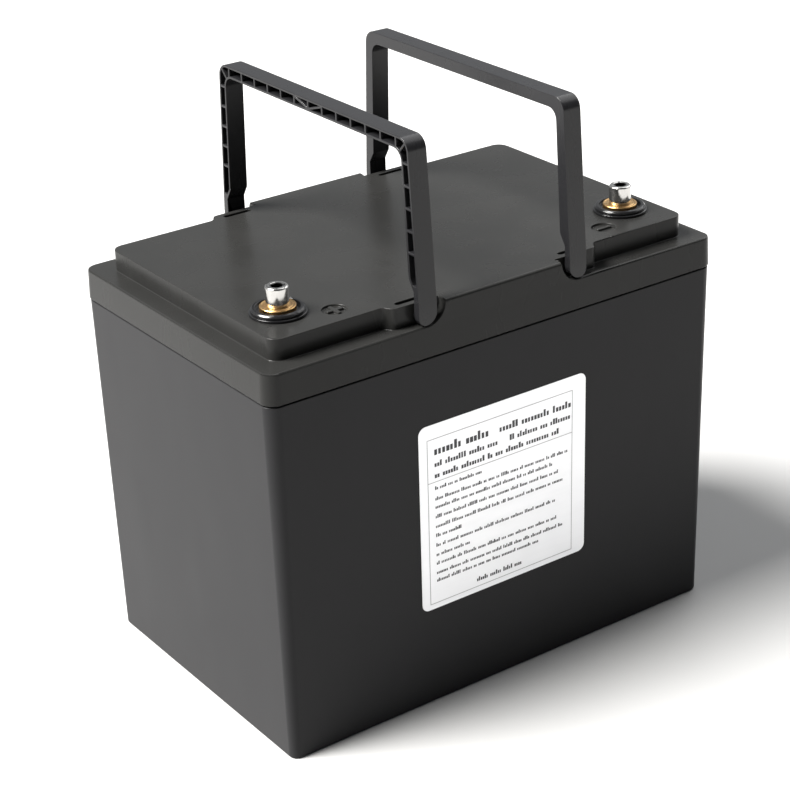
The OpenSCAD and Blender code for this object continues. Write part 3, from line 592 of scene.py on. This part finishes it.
def turned(bm, centre, profile, segments=96, closed=False):
    """Adds a turned skin. The profile is a list of (radius, height), from the bottom up the outside."""
    rings = []
    for radius, z in profile:
        if radius == 0:
            rings.append([bm.verts.new((centre.x, centre.y, z))])
            continue
        ring = []
        for k in range(segments):
            angle = 2 * math.pi * k / segments
            r = radius(angle) if callable(radius) else radius
            ring.append(bm.verts.new((centre.x + r * math.cos(angle), centre.y + r * math.sin(angle), z)))
        rings.append(ring)
    pairs = list(zip(rings, rings[1:])) + ([(rings[-1], rings[0])] if closed else [])
    for lower, upper in pairs:
        for k in range(segments):
            n = (k + 1) % segments
            corners = [ring[i % len(ring)] for ring, i in ((lower, k), (lower, n), (upper, n), (upper, k))]
            bm.faces.new(list(dict.fromkeys(corners)))


def hexagon(width):
    """Radius of a hexagon of that width across its flats, at an angle."""
    return lambda angle: width / 2 / math.cos(angle % (math.pi / 3) - math.pi / 6)


def eased(points, radius, steps=3, closed=False):
    """Rounds the corners of a profile. The first and last points of an open profile stay sharp."""
    made = []
    count = len(points)
    for i, here in enumerate(points):
        if not closed and i in (0, count - 1):
            made.append(here)
            continue
        before, after = Vector(points[i - 1]), Vector(points[(i + 1) % count])
        corner = Vector(here)
        a, b = before - corner, after - corner
        cut = min(radius, a.length * 0.45, b.length * 0.45)
        start, end = corner + a.normalized() * cut, corner + b.normalized() * cut
        for s in range(steps + 1):
            t = s / steps
            made.append(tuple(start * (1 - t) ** 2 + corner * 2 * t * (1 - t) + end * t * t))
    return made


def middle_of(node):
    low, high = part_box(node)
    return (low + high) / 2


print("turning helper ready")

# %% [markdown]
# ## Finishes of the metal parts
#
# A turned brass face shows fine rings round its own axis. Both posts share one material: the pattern takes
# the distance to the nearer post axis, which it finds by folding the X coordinate with an absolute value.
# The bolts are nickel plated steel, bright but not a mirror, with a faint orange-peel skin.

# %% Brass, nickel and collar finishes
POST_X = middle_of("positive_post").x
POST_Y = middle_of("positive_post").y
SOCKET_WIDTH = 5.0 * MM
SOCKET_MOUTH = SOCKET_WIDTH / 2 + 0.75 * MM
TOOL_MARK_PITCH = 0.35 * MM


def distance_to_post(finish):
    """Distance in metres from the axis of the nearer post."""
    apart = finish.node("ShaderNodeSeparateXYZ", Vector=finish.place)
    x = finish.maths("SUBTRACT", finish.maths("ABSOLUTE", apart.outputs[0]), abs(POST_X))
    y = finish.maths("SUBTRACT", apart.outputs[1], POST_Y)
    squares = finish.maths("ADD", finish.maths("MULTIPLY", x, x), finish.maths("MULTIPLY", y, y))
    return finish.maths("SQRT", squares)


def turned_brass():
    finish = Finish("turned_brass", (0.66, 0.43, 0.18), 0.26, metallic=1.0)
    turns = finish.maths("MULTIPLY", distance_to_post(finish), 2 * math.pi / TOOL_MARK_PITCH)
    rings = finish.maths("SINE", turns)
    tarnish = finish.noise(260, 5, distortion=0.6)
    finish.tint(finish.spread(tarnish, 0, 0.75), (0.36, 0.19, 0.08))
    finish.shine(finish.spread(tarnish, 0.22, 0.40))
    finish.relief(rings, 0.012 * MM, 0.6)
    finish.relief(finish.noise(2600, 3), 0.008 * MM, 0.5)
    return finish.material


def plated_nickel():
    finish = Finish("plated_nickel", (0.60, 0.59, 0.57), 0.13, metallic=1.0)
    skin = finish.noise(900, 3)
    streaks = finish.noise(420, 3, finish.stretched((1, 1, 0.06)))
    plating = finish.tint(finish.spread(streaks, 0, 0.5), (0.42, 0.41, 0.40))
    # Painted shade: the socket and its mouth chamfer are tinted near black, as the shade inside the recess
    # would make them
    rim = (SOCKET_MOUTH - 0.25 * MM, SOCKET_MOUTH + 0.05 * MM)
    socket = finish.spread(distance_to_post(finish), 0.96, 0, *rim)
    finish.tint(socket, (0.020, 0.019, 0.018), under=plating)
    finish.shine(finish.spread(skin, 0.10, 0.24))
    finish.relief(skin, 0.015 * MM, 0.5)
    return finish.material


def collar_plastic():
    finish = Finish("collar_plastic", (0.006, 0.006, 0.0065), 0.16, specular_ior_level=0.4)
    dust = finish.noise(240, 4)
    finish.tint(finish.spread(dust, 0, 0.3, 0.55, 0.75), (0.020, 0.019, 0.018))
    finish.shine(finish.spread(dust, 0.13, 0.24))
    finish.relief(dust, 0.03 * MM, 0.25)
    return finish.material


finishes["brass"] = turned_brass()
finishes["nickel"] = plated_nickel()
finishes["collar_black"] = collar_plastic()
print("post axes at x = +/-", round(abs(POST_X) / MM, 1), "y =", round(POST_Y / MM, 1))

# %% [markdown]
# ## The terminals
#
# Each terminal is a brass post moulded into a two-step collar, with a socket-head bolt screwed into it. The
# collar has a low flange, a narrow groove, and a ring that leans in to a thin rim round the well.

# %% Turn the collars
COLLAR_FLANGE = 1.4 * MM
COLLAR_STEP = 0.8 * MM
RIM_LEAN = 0.8 * MM
WELL_RADIUS = 10.2 * MM
SPIGOT_RADIUS = 8.0 * MM
POST_BORE = 5.05 * MM
POST_FLANGE = 2.3 * MM
FLANGE_SLOPE = 0.15 * MM
GROOVE_CUT = 0.35 * MM
GROOVE_RISE = 0.25 * MM
COLLAR_EASE = 0.25 * MM


def make_collar(sign):
    centre = middle_of(f"{sign}_collar")
    low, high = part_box(f"{sign}_collar")
    outer = (high.x - low.x) / 2
    top_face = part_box("lid")[1].z
    ring = outer - COLLAR_STEP
    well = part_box(f"{sign}_post")[1].z - POST_FLANGE
    outline = [
        (SPIGOT_RADIUS, low.z),
        (SPIGOT_RADIUS, top_face),
        (outer, top_face),
        (outer, top_face + COLLAR_FLANGE - FLANGE_SLOPE),
        (ring - GROOVE_CUT, top_face + COLLAR_FLANGE),
        (ring, top_face + COLLAR_FLANGE + GROOVE_RISE),
        (ring, high.z - RIM_LEAN),
        (ring - RIM_LEAN, high.z),
        (WELL_RADIUS, high.z),
        (WELL_RADIUS, well),
        (POST_BORE, well),
        (POST_BORE, low.z),
    ]
    bm = bmesh.new()
    turned(bm, centre, eased(outline, COLLAR_EASE, closed=True), closed=True)
    piece = flat_face_shading(place_mesh(f"{sign}_terminal_collar", bm))
    return finish_piece(piece, "pack", "collar_black", [f"{sign}_collar"])


for sign in ("positive", "negative"):
    make_collar(sign)

# %% [markdown]
# ## The brass posts
#
# The post is what a cable lug lands on: a wide flange on a shank that goes down through the lid. Its face
# was turned on a lathe, so it has a broken edge and one shallow turned groove. Turning a profile makes all
# of that at once, and a few more points in the profile cost nothing.

# %% Turn the brass posts
FACE_BEVEL = 0.3 * MM
DIP_INSET = 0.9 * MM
DIP_SLOPE = 0.2 * MM
DIP_WIDTH = 0.4 * MM
SHANK_CHAMFER = 0.5 * MM
BORE_END = 3.0 * MM
POST_EASE = 0.12 * MM
FACE_DIP = 0.12 * MM
SHANK_RADIUS = 5.0 * MM
BOLT_BORE = 3.05 * MM


def make_post(sign):
    centre = middle_of(f"{sign}_post")
    low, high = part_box(f"{sign}_post")
    face = (high.x - low.x) / 2
    dip = face - DIP_INSET
    well = high.z - POST_FLANGE
    outline = [
        (0, low.z),
        (SHANK_RADIUS - SHANK_CHAMFER, low.z),
        (SHANK_RADIUS, low.z + SHANK_CHAMFER),
        (SHANK_RADIUS, well),
        (face, well),
        (face, high.z - FACE_BEVEL),
        (face - FACE_BEVEL, high.z),
        (dip, high.z),
        (dip - DIP_SLOPE, high.z - FACE_DIP),
        (dip - DIP_SLOPE - DIP_WIDTH, high.z - FACE_DIP),
        (dip - 2 * DIP_SLOPE - DIP_WIDTH, high.z),
        (BOLT_BORE, high.z),
        (BOLT_BORE, low.z + BORE_END),
        (0, low.z + BORE_END),
    ]
    bm = bmesh.new()
    turned(bm, centre, eased(outline, POST_EASE, 2))
    piece = flat_face_shading(place_mesh(f"{sign}_brass_post", bm))
    return finish_piece(piece, "pack", "brass", [f"{sign}_post"])


for sign in ("positive", "negative"):
    make_post(sign)

# %% [markdown]
# ## The socket-head bolts
#
# A socket-head bolt has a plain cylinder for a head and a hexagon sunk into it. Cutting the hexagon with a
# Boolean would leave thin faces that shade badly. Here the rings simply change from round to hexagonal as
# they go down into the socket, so the mesh stays regular. Edges over 32 degrees are then marked sharp,
# which keeps the flats crisp.

# %% Turn the socket-head bolts
SOCKET_DEPTH = 5.0 * MM
SOCKET_TAPER = 0.96
MOUTH_DEPTH = 0.35 * MM
FLOOR_STEP = 0.05 * MM
DRILL_POINT = 1.2 * MM
HEAD_EDGE = 0.6 * MM
HEAD_UNDERCUT = 0.2 * MM
HEAD_EASE = 0.25 * MM
BOLT_SHANK = 3.0 * MM
FLATS_ANGLE = 32


def make_bolt(sign):
    centre = middle_of(f"{sign}_bolt")
    low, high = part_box(f"{sign}_bolt")
    head = (high.x - low.x) / 2
    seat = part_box(f"{sign}_post")[1].z
    outer = eased([
        (0, low.z),
        (BOLT_SHANK - SHANK_CHAMFER, low.z),
        (BOLT_SHANK, low.z + SHANK_CHAMFER),
        (BOLT_SHANK, seat),
        (head - HEAD_UNDERCUT, seat),
        (head, seat + HEAD_EASE),
        (head, high.z - HEAD_EDGE),
        (head - HEAD_EDGE, high.z),
        (SOCKET_MOUTH, high.z),
    ], HEAD_EASE)
    floor = high.z - SOCKET_DEPTH
    socket = [
        (hexagon(SOCKET_WIDTH), high.z - MOUTH_DEPTH),
        (hexagon(SOCKET_WIDTH), floor),
        (hexagon(SOCKET_WIDTH * SOCKET_TAPER), floor - FLOOR_STEP),
        (0, floor - DRILL_POINT),
    ]
    bm = bmesh.new()
    turned(bm, centre, outer + socket, segments=72)
    piece = place_mesh(f"{sign}_socket_bolt", bm)
    piece.data.shade_smooth()
    piece.data.set_sharp_from_angle(angle=math.radians(FLATS_ANGLE))
    piece = bake(piece)
    return finish_piece(piece, "pack", "nickel", [f"{sign}_bolt"])


for sign in ("positive", "negative"):
    make_bolt(sign)

# %% [markdown]
# ## The label
#
# The label is a sheet of satin foil with rounded corners, glued to the leaning front face. Its print is
# generic: a heading row, two medium rows and many small rows, each made of little blocks, so it reads as
# print from a distance but says nothing. The blocks repeat by the hundred, so Geometry Nodes places one
# unit block on every point and scales it by an attribute that the point carries.

# %% Foil and ink finishes


def label_foil():
    finish = Finish("label_foil", (0.83, 0.835, 0.85), 0.38, metallic=0.8)
    brushed = finish.noise(900, 3, finish.stretched((0.04, 1, 1)))
    mottle = finish.noise(30, 3)
    finish.tint(finish.spread(mottle, 0, 0.35), (0.74, 0.75, 0.78))
    finish.shine(finish.spread(brushed, 0.32, 0.46))
    finish.relief(brushed, 0.006 * MM, 0.5)
    finish.relief(finish.noise(60, 2), 0.05 * MM, 0.35)
    return finish.material


def print_ink():
    finish = Finish("print_ink", (0.020, 0.020, 0.022), 0.55)
    finish.tint(finish.spread(finish.noise(2200, 2), 0, 0.5), (0.06, 0.06, 0.065))
    finish.relief(finish.noise(3000, 2), 0.005 * MM, 0.4)
    return finish.material


def frame_ink():
    finish = Finish("frame_ink", (0.28, 0.28, 0.29), 0.5)
    finish.tint(finish.spread(finish.noise(1500, 2), 0, 0.5), (0.36, 0.36, 0.37))
    return finish.material


finishes["label_foil"] = label_foil()
ink = print_ink()
grey_ink = frame_ink()
print("foil and two inks")

# %% [markdown]
# ## The foil sheet
#
# The label leans with the case wall, so its plane is measured from the CAD part: the middle and the mean
# direction of its front faces. Every later point of the label is given on that plane, to the right, up and
# out. The sheet is three loops of one rounded outline, and the last loop is a little smaller, which eases
# the front edge.

# %% Make the foil
LABEL_CORNER = 4.0 * MM
CORNER_STEPS = 8
FOIL_EDGE = 0.06 * MM


def outward_plane(node):
    """Middle and outward direction of a CAD node's largest face on the label side."""
    polygons = [p for p in nodes[node].data.polygons if p.normal.y < -0.9]
    direction = sum((p.normal * p.area for p in polygons), Vector()).normalized()
    area = sum(p.area for p in polygons)
    return sum((p.center * p.area for p in polygons), Vector()) / area, direction


label_middle, label_out = outward_plane("front_label")
label_right = Vector((1, 0, 0))
label_up = label_out.cross(label_right).normalized()
if label_up.z < 0:
    label_up = -label_up
label_low, label_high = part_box("front_label")
LABEL_WIDTH = label_high.x - label_low.x
LABEL_HEIGHT = (label_high.z - label_low.z) / label_up.z
LABEL_THICKNESS = 0.25 * MM
print("label in mm:", round(LABEL_WIDTH / MM, 1), "x", round(LABEL_HEIGHT / MM, 1))


def on_label(x, z, out=0.0):
    """A point on the label, from its lower left corner, raised by out."""
    return (
        label_middle
        + label_right * (x - LABEL_WIDTH / 2)
        + label_up * (z - LABEL_HEIGHT / 2)
        + label_out * out
    )


def rounded_outline(width, height, radius, steps):
    return (
        arc((width - radius, height - radius), radius, 0, 90, steps)
        + arc((radius, height - radius), radius, 90, 180, steps)
        + arc((radius, radius), radius, 180, 270, steps)
        + arc((width - radius, radius), radius, 270, 360, steps)
    )


def make_foil():
    """A thin plate with rounded corners, eased along its front edge."""
    bm = bmesh.new()
    loops = []
    for inset, out in ((0, -LABEL_THICKNESS), (0, -FOIL_EDGE), (FOIL_EDGE, 0)):
        width, height = LABEL_WIDTH - 2 * inset, LABEL_HEIGHT - 2 * inset
        outline = rounded_outline(width, height, LABEL_CORNER, CORNER_STEPS)
        loops.append([bm.verts.new(on_label(x + inset, z + inset, out)) for x, z in outline])
    count = len(loops[0])
    for lower, upper in zip(loops, loops[1:]):
        for k in range(count):
            n = (k + 1) % count
            bm.faces.new((lower[k], lower[n], upper[n], upper[k]))
    bm.faces.new(loops[-1])
    bm.faces.new(list(reversed(loops[0])))
    bmesh.ops.recalc_face_normals(bm, faces=bm.faces)
    return flat_face_shading(place_mesh("label_sheet", bm))


foil = make_foil()
finish_piece(foil, "pack", "label_foil", ["front_label"])

# %% [markdown]
# ## The print
#
# A row is described by its base line, the height of its blocks, how far it runs and how wide a block is. A
# seeded generator groups the blocks into words of two to nine, so the rows look alive but come out the same
# every time.

# %% Set out the rows of print
PRINT_RISE = 0.02 * MM
LEFT = 8.8
ROWS = [
    # base line, block height, block width, start, end (mm from the label's lower left corner)
    (82.0, 4.6, 2.3, LEFT, 41.5),
    (82.0, 3.6, 1.9, 47.0, 91.0),
    (75.8, 3.0, 1.55, LEFT, 47.0),
    (75.8, 3.0, 1.55, 53.0, 90.0),
    (70.0, 3.0, 1.55, LEFT, 84.0),
    (63.8, 1.9, 0.95, LEFT, 38.0),
    (58.2, 1.9, 0.95, LEFT, 88.5),
    (53.8, 1.9, 0.95, LEFT, 79.0),
    (48.7, 1.9, 0.95, LEFT, 84.0),
    (43.5, 1.9, 0.95, LEFT, 87.0),
    (38.6, 1.9, 0.95, LEFT, 24.0),
    (33.4, 1.9, 0.95, LEFT, 81.5),
    (28.3, 1.9, 0.95, LEFT, 29.0),
    (23.6, 1.9, 0.95, LEFT, 82.5),
    (18.5, 1.9, 0.95, LEFT, 86.0),
    (14.3, 1.9, 0.95, LEFT, 71.0),
    (5.8, 2.4, 1.15, 32.5, 60.5),
]


def set_out_rows(rows):
    """Centres and sizes of all blocks, as (x, z, width, height) in metres."""
    chance = random.Random(7)
    blocks = []
    for base, height, width, start, end in rows:
        x = start
        while x < end:
            for _ in range(chance.randint(2, 9)):
                tall = height * chance.choice((0.62, 0.62, 0.62, 1.0))
                wide = width * chance.uniform(0.62, 0.82)
                if x + wide > end:
                    break
                blocks.append(tuple(v * MM for v in (x + wide / 2, base + tall / 2, wide, tall)))
                x += width
            x += width
    return blocks


def make_print(name, blocks, material, thickness):
    """One flat block on every point, scaled by the size that the point carries."""
    mesh = bpy.data.meshes.new(name)
    mesh.from_pydata([on_label(x, z, PRINT_RISE) for x, z, _, _ in blocks], [], [])
    sizes = mesh.attributes.new("block_size", "FLOAT_VECTOR", "POINT")
    for item, (_, _, wide, tall) in zip(sizes.data, blocks):
        item.vector = (wide, 1, tall)
    piece = bpy.data.objects.new(name, mesh)
    bpy.context.scene.collection.objects.link(piece)
    graph = Graph("print_blocks", Thickness=thickness, Lean=0.0)
    block = graph.node("GeometryNodeMeshCube", Size=(1, 1, 1))
    turn = graph.node("ShaderNodeCombineXYZ", X=graph.size("Lean"))
    carried = graph.node(
        "GeometryNodeInputNamedAttribute", {"data_type": "FLOAT_VECTOR"}, Name="block_size"
    )
    flat = graph.node("ShaderNodeCombineXYZ", X=1.0, Y=graph.size("Thickness"), Z=1.0)
    scale = graph.node(
        "ShaderNodeVectorMath", {"operation": "MULTIPLY"}, in0=carried.outputs[0], in1=flat.outputs[0]
    )
    placed = graph.node(
        "GeometryNodeInstanceOnPoints",
        Points=graph.entry.outputs[0],
        Instance=block.outputs[0],
        Rotation=turn.outputs[0],
        Scale=scale.outputs[0],
    )
    lean = math.atan2(label_up.y, label_up.z)
    return graph.make(piece, placed.outputs[0], material, Thickness=thickness, Lean=-lean)


INK_THICKNESS = 0.03 * MM
blocks = set_out_rows(ROWS)
printed = make_print("label_print", blocks, ink, INK_THICKNESS)
finish_piece(printed, "pack", "label_foil", ["front_label"], ink)
print("print blocks:", len(blocks))

# %% [markdown]
# ## The frame round the print
#
# A thin grey line frames the print, and one more line parts the heading from the small rows. A line is only
# a long block, so the same tree that placed the print places these five as well.

# %% Draw the thin frame round the print
FRAME_LINE = 0.35 * MM
FRAME_THICKNESS = 0.025 * MM
FRAME_BOX = (4.8 * MM, 3.0 * MM, 91.3 * MM, 90.5 * MM)
DIVIDER = 68.0 * MM


def frame_lines():
    left, bottom, right, top = FRAME_BOX
    middle = (left + right) / 2
    rise = (top - bottom) / 2
    return [
        (middle, bottom, right - left, FRAME_LINE),
        (middle, top, right - left, FRAME_LINE),
        (middle, DIVIDER, right - left, FRAME_LINE),
        (left, bottom + rise, FRAME_LINE, 2 * rise + FRAME_LINE),
        (right, bottom + rise, FRAME_LINE, 2 * rise + FRAME_LINE),
    ]


lines = make_print("label_frame", frame_lines(), grey_ink, FRAME_THICKNESS)
finish_piece(lines, "pack", "label_foil", ["front_label"], grey_ink)

# %% [markdown]
# ## Finishes of the inner parts
#
# A closed pack hides its inside, but the parts can be shown one by one, so each gets a real finish. They
# share one recipe: a roughness and a fine relief that drift together, most often with a colour that drifts
# towards a second one. Stretching the pattern along one axis turns the same recipe into brushed metal or
# wrinkled film. Where the colour follows a pattern of its own, the second colour is None.

# %% One recipe for all worked surfaces


def worked(name, colour, other, roughness, scale, depth, stretch=(1, 1, 1), **sockets):
    """A finish whose shine, relief and, given a second colour, tint follow one stretched noise."""
    finish = Finish(name, colour, roughness, **sockets)
    pattern = finish.noise(scale, 5, finish.stretched(stretch), 0.3)
    if other is not None:
        finish.tint(finish.spread(pattern, 0, 0.85), other)
    finish.shine(finish.spread(pattern, max(0.04, roughness - 0.07), roughness + 0.09))
    finish.relief(pattern, depth, 0.7)
    return finish


print("one recipe for worked surfaces")

# %% [markdown]
# Metals differ in the direction of their marks. A drawn can is marked lengthwise, an extruded heat sink
# crosswise and a rolled link upright, so each pattern is stretched its own way.

# %% Metals of the cells, the links and the screws
SILVER_STEEL, DARK_STEEL = (0.56, 0.56, 0.57), (0.40, 0.40, 0.41)
BRIGHT_ALUMINIUM, DULL_ALUMINIUM = (0.80, 0.80, 0.81), (0.62, 0.62, 0.64)
BRIGHT_TIN, DULL_TIN = (0.72, 0.71, 0.69), (0.56, 0.53, 0.48)
FRESH_COPPER, BROWN_COPPER = (0.83, 0.43, 0.27), (0.52, 0.24, 0.15)
LENGTHWISE, CROSSWISE, UPRIGHT = (0.06, 1, 1), (1, 0.04, 1), (1, 1, 0.08)

steel = worked("rolled_steel", SILVER_STEEL, DARK_STEEL, 0.28, 900, 0.02 * MM, metallic=1.0)
aluminium = worked(
    "drawn_aluminium", BRIGHT_ALUMINIUM, DULL_ALUMINIUM, 0.30, 500, 0.02 * MM, LENGTHWISE, metallic=1.0
)
heat_sink = worked(
    "extruded_aluminium", BRIGHT_ALUMINIUM, DULL_ALUMINIUM, 0.36, 700, 0.03 * MM, CROSSWISE, metallic=1.0
)
tinned = worked("tinned_copper", BRIGHT_TIN, DULL_TIN, 0.26, 1200, 0.02 * MM, metallic=1.0)
copper = worked("rolled_copper", FRESH_COPPER, BROWN_COPPER, 0.27, 420, 0.02 * MM, UPRIGHT, metallic=1.0)
copper.relief(copper.noise(2400, 2), 0.01 * MM, 0.5)
print("five metals")

# %% [markdown]
# Four of the inner materials have a wave pattern of their own. The shrink film on the cells has shallow
# wrinkles across its blue skin, the strap has woven ribs, and the wound electrodes show their layers. The
# glass-fibre board shows the weave of its cloth, which is the product of two waves at right angles.

# %% Film, fibre board, straps and electrodes


def waves(finish, scale, direction, distortion=0.0):
    """Soft parallel bands across one axis."""
    made = finish.node(
        "ShaderNodeTexWave",
        {"bands_direction": direction},
        Vector=finish.place,
        Scale=scale,
        Distortion=distortion,
    )
    return made.outputs[1]


BRIGHT_FILM, DEEP_FILM = (0.030, 0.12, 0.42), (0.015, 0.07, 0.30)
film = worked("shrink_film", BRIGHT_FILM, DEEP_FILM, 0.24, 60, 0.05 * MM, (1, 1, 0.2), coat_weight=0.4)
film.relief(waves(film, 26, "Z", 9.0), 0.06 * MM, 0.4)

fibre = worked("fibre_board", (0.56, 0.47, 0.17), None, 0.40, 240, 0.02 * MM, coat_weight=0.2)
weave = fibre.maths("MULTIPLY", waves(fibre, 210, "X"), waves(fibre, 210, "Y"))
fibre.tint(fibre.spread(weave, 0, 0.5, 0.2, 0.9), (0.66, 0.58, 0.28))
fibre.relief(weave, 0.03 * MM, 0.6)

strap = worked("polyester_strap", (0.05, 0.24, 0.10), (0.03, 0.16, 0.07), 0.36, 300, 0.02 * MM, (0.2, 1, 1))
strap.relief(waves(strap, 260, "X"), 0.05 * MM, 0.6)

electrode = worked("electrode_layers", (0.06, 0.06, 0.065), (0.11, 0.11, 0.12), 0.62, 800, 0.04 * MM)
electrode.relief(waves(electrode, 420, "Y", 0.4), 0.05 * MM, 0.8)
print("film, fibre board, strap and electrode")

# %% [markdown]
# The circuit board's tracks come from a brick pattern. Its narrow joints are the bare gaps between copper
# areas under the green lacquer, and a bump lifts the copper by a few hundredths of a millimetre. Foam is a
# field of small cells, so a Voronoi pattern both darkens it and pits it.

# %% Circuit board, foam and rubber
BOARD_TRACK = 5.5 * MM
BOARD_PITCH = 1.9 * MM
BOARD_GAP = 0.22 * MM


def circuit_lacquer():
    finish = worked("circuit_lacquer", (0.012, 0.13, 0.055), None, 0.26, 180, 0.01 * MM, coat_weight=0.5)
    bricks = finish.node(
        "ShaderNodeTexBrick",
        {"offset": 0.37, "squash": 1.6, "squash_frequency": 3},
        Vector=finish.place,
        Scale=1.0,
        Mortar_Size=BOARD_GAP,
        Brick_Width=BOARD_TRACK,
        Row_Height=BOARD_PITCH,
    )
    gaps = bricks.outputs["Fac"]
    finish.tint(finish.maths("MULTIPLY", gaps, 0.8), (0.004, 0.045, 0.022))
    finish.relief(finish.maths("SUBTRACT", 1.0, gaps), 0.04 * MM, 0.8)
    return finish


def closed_cell_foam():
    finish = Finish("closed_cell_foam", (0.095, 0.095, 0.10), 0.85, specular_ior_level=0.15)
    pores = finish.cells(1500)
    finish.tint(finish.spread(pores, 0.7, 0, 0.0, 0.45), (0.035, 0.035, 0.04))
    finish.relief(pores, 0.25 * MM, 0.8)
    finish.relief(finish.noise(70, 3), 0.4 * MM, 0.5)
    return finish


def moulded_rubber():
    finish = worked("moulded_rubber", (0.012, 0.012, 0.012), (0.030, 0.029, 0.028), 0.55, 900, 0.03 * MM)
    finish.relief(finish.cells(3200), 0.02 * MM, 0.4)
    return finish


circuit = circuit_lacquer()
foam = closed_cell_foam()
rubber = moulded_rubber()
print("board, foam and rubber")

# %% [markdown]
# The small electronics are moulded in epoxy and nylon, and the leads are insulated with silicone. All of
# them are plain plastics whose character lies in their gloss and in a very fine texture. Two layers of
# relief do it: a slow one for the moulding and a fine one for the skin. The last lines put every finish
# under its slot name.

# %% Electronics and insulated leads
epoxy = worked("moulded_epoxy", (0.018, 0.018, 0.019), (0.034, 0.033, 0.034), 0.50, 1500, 0.03 * MM)
epoxy.relief(epoxy.cells(4200), 0.02 * MM, 0.4)
CREAM, AGED_CREAM = (0.76, 0.74, 0.66), (0.66, 0.62, 0.50)
DEEP_BLUE, NIGHT_BLUE = (0.025, 0.05, 0.24), (0.015, 0.03, 0.16)
nylon = worked("cream_nylon", CREAM, AGED_CREAM, 0.38, 160, 0.03 * MM, subsurface_weight=0.1)
nylon.relief(nylon.noise(2600, 2), 0.01 * MM, 0.4)
sleeve = worked("blue_sleeve", DEEP_BLUE, NIGHT_BLUE, 0.20, 400, 0.02 * MM, coat_weight=0.3)
red = worked("red_silicone", (0.50, 0.018, 0.018), (0.36, 0.012, 0.014), 0.42, 350, 0.03 * MM)
black = worked("black_silicone", (0.014, 0.014, 0.015), (0.034, 0.033, 0.033), 0.42, 350, 0.03 * MM)
for insulation in (red, black):
    insulation.relief(insulation.noise(2200, 3), 0.015 * MM, 0.5)

inner = {
    "steel": steel,
    "cell_aluminium": aluminium,
    "heat_sink_aluminium": heat_sink,
    "tinned_copper": tinned,
    "copper": copper,
    "cell_film": film,
    "epoxy_board": fibre,
    "strap_green": strap,
    "electrode": electrode,
    "circuit_green": circuit,
    "foam_grey": foam,
    "seal_black": rubber,
    "component_black": epoxy,
    "connector_white": nylon,
    "capacitor_blue": sleeve,
    "lead_red": red,
    "lead_black": black,
}
finishes |= {slot: finish.material for slot, finish in inner.items()}
print("finishes in all:", len(finishes))

# %% [markdown]
# ## The foam pads
#
# Foam gives where something presses on it and swells where nothing does. Each pad starts as its CAD block
# with its edges rounded. Cutting it into a grid gives it enough points, and every point is then drawn
# inwards by a slow noise, so no face stays perfectly flat and nothing leaves the room that the design keeps
# for the pad.

# %% Soften the foam pads
PAD_EDGE = 0.7 * MM
PAD_GRID = 6.0 * MM
PAD_GIVE = 0.3 * MM
PRESS_SCALE = 55


def cut_into_grid(piece, step):
    """Cuts the piece along evenly spaced planes across all three axes."""
    bm = bmesh.new()
    bm.from_mesh(piece.data)
    points = [v.co.copy() for v in bm.verts]
    for axis in range(3):
        low = min(p[axis] for p in points)
        high = max(p[axis] for p in points)
        direction = Vector([float(i == axis) for i in range(3)])
        for k in range(1, round((high - low) / step)):
            geometry = bm.verts[:] + bm.edges[:] + bm.faces[:]
            middle = direction * (low + k * step)
            bmesh.ops.bisect_plane(bm, geom=geometry, plane_co=middle, plane_no=direction)
    bm.to_mesh(piece.data)
    bm.free()


def press(piece, give):
    """Draws every point inwards along its normal by a slow noise."""
    inward = [(v.co.copy(), v.normal.copy()) for v in piece.data.vertices]
    for vertex, (place, normal) in zip(piece.data.vertices, inward):
        vertex.co = place - normal * give * (0.5 + 0.5 * noise.noise(place * PRESS_SCALE))


def soft_pad(node):
    piece = soften(welded_copy(node, f"{node}_soft"), PAD_EDGE, segments=3)
    cut_into_grid(piece, PAD_GRID)
    press(piece, PAD_GIVE)
    piece.data.shade_smooth()
    finish_piece(piece, "pack", "foam_grey", [node])


for node in ("base_pad", "side_pads", "end_pad_foam"):
    soft_pad(node)

# %% [markdown]
# ## The parts that keep their CAD mesh
#
# Every other part keeps the mesh of the design, and only gets its finish. The record says which material
# slot each part belongs to, so one loop dresses them all. The material goes on the object, which leaves the
# mesh untouched.

# %% Dress the parts that keep their CAD mesh
rebuilt = {"case_tub", "lid", "handle_left", "handle_right", "front_label"}
rebuilt |= {"base_pad", "side_pads", "end_pad_foam"}
rebuilt |= {f"{sign}_{part}" for sign in ("positive", "negative") for part in ("collar", "post", "bolt")}
dressed = [part for part in frame["record"]["subparts"] if part["node"] not in rebuilt]
for part in dressed:
    for place in nodes[part["node"]].material_slots:
        place.link = "OBJECT"
        place.material = finishes[part["material_slot"]]
print("parts dressed:", len(dressed), "| parts rebuilt:", len(rebuilt))
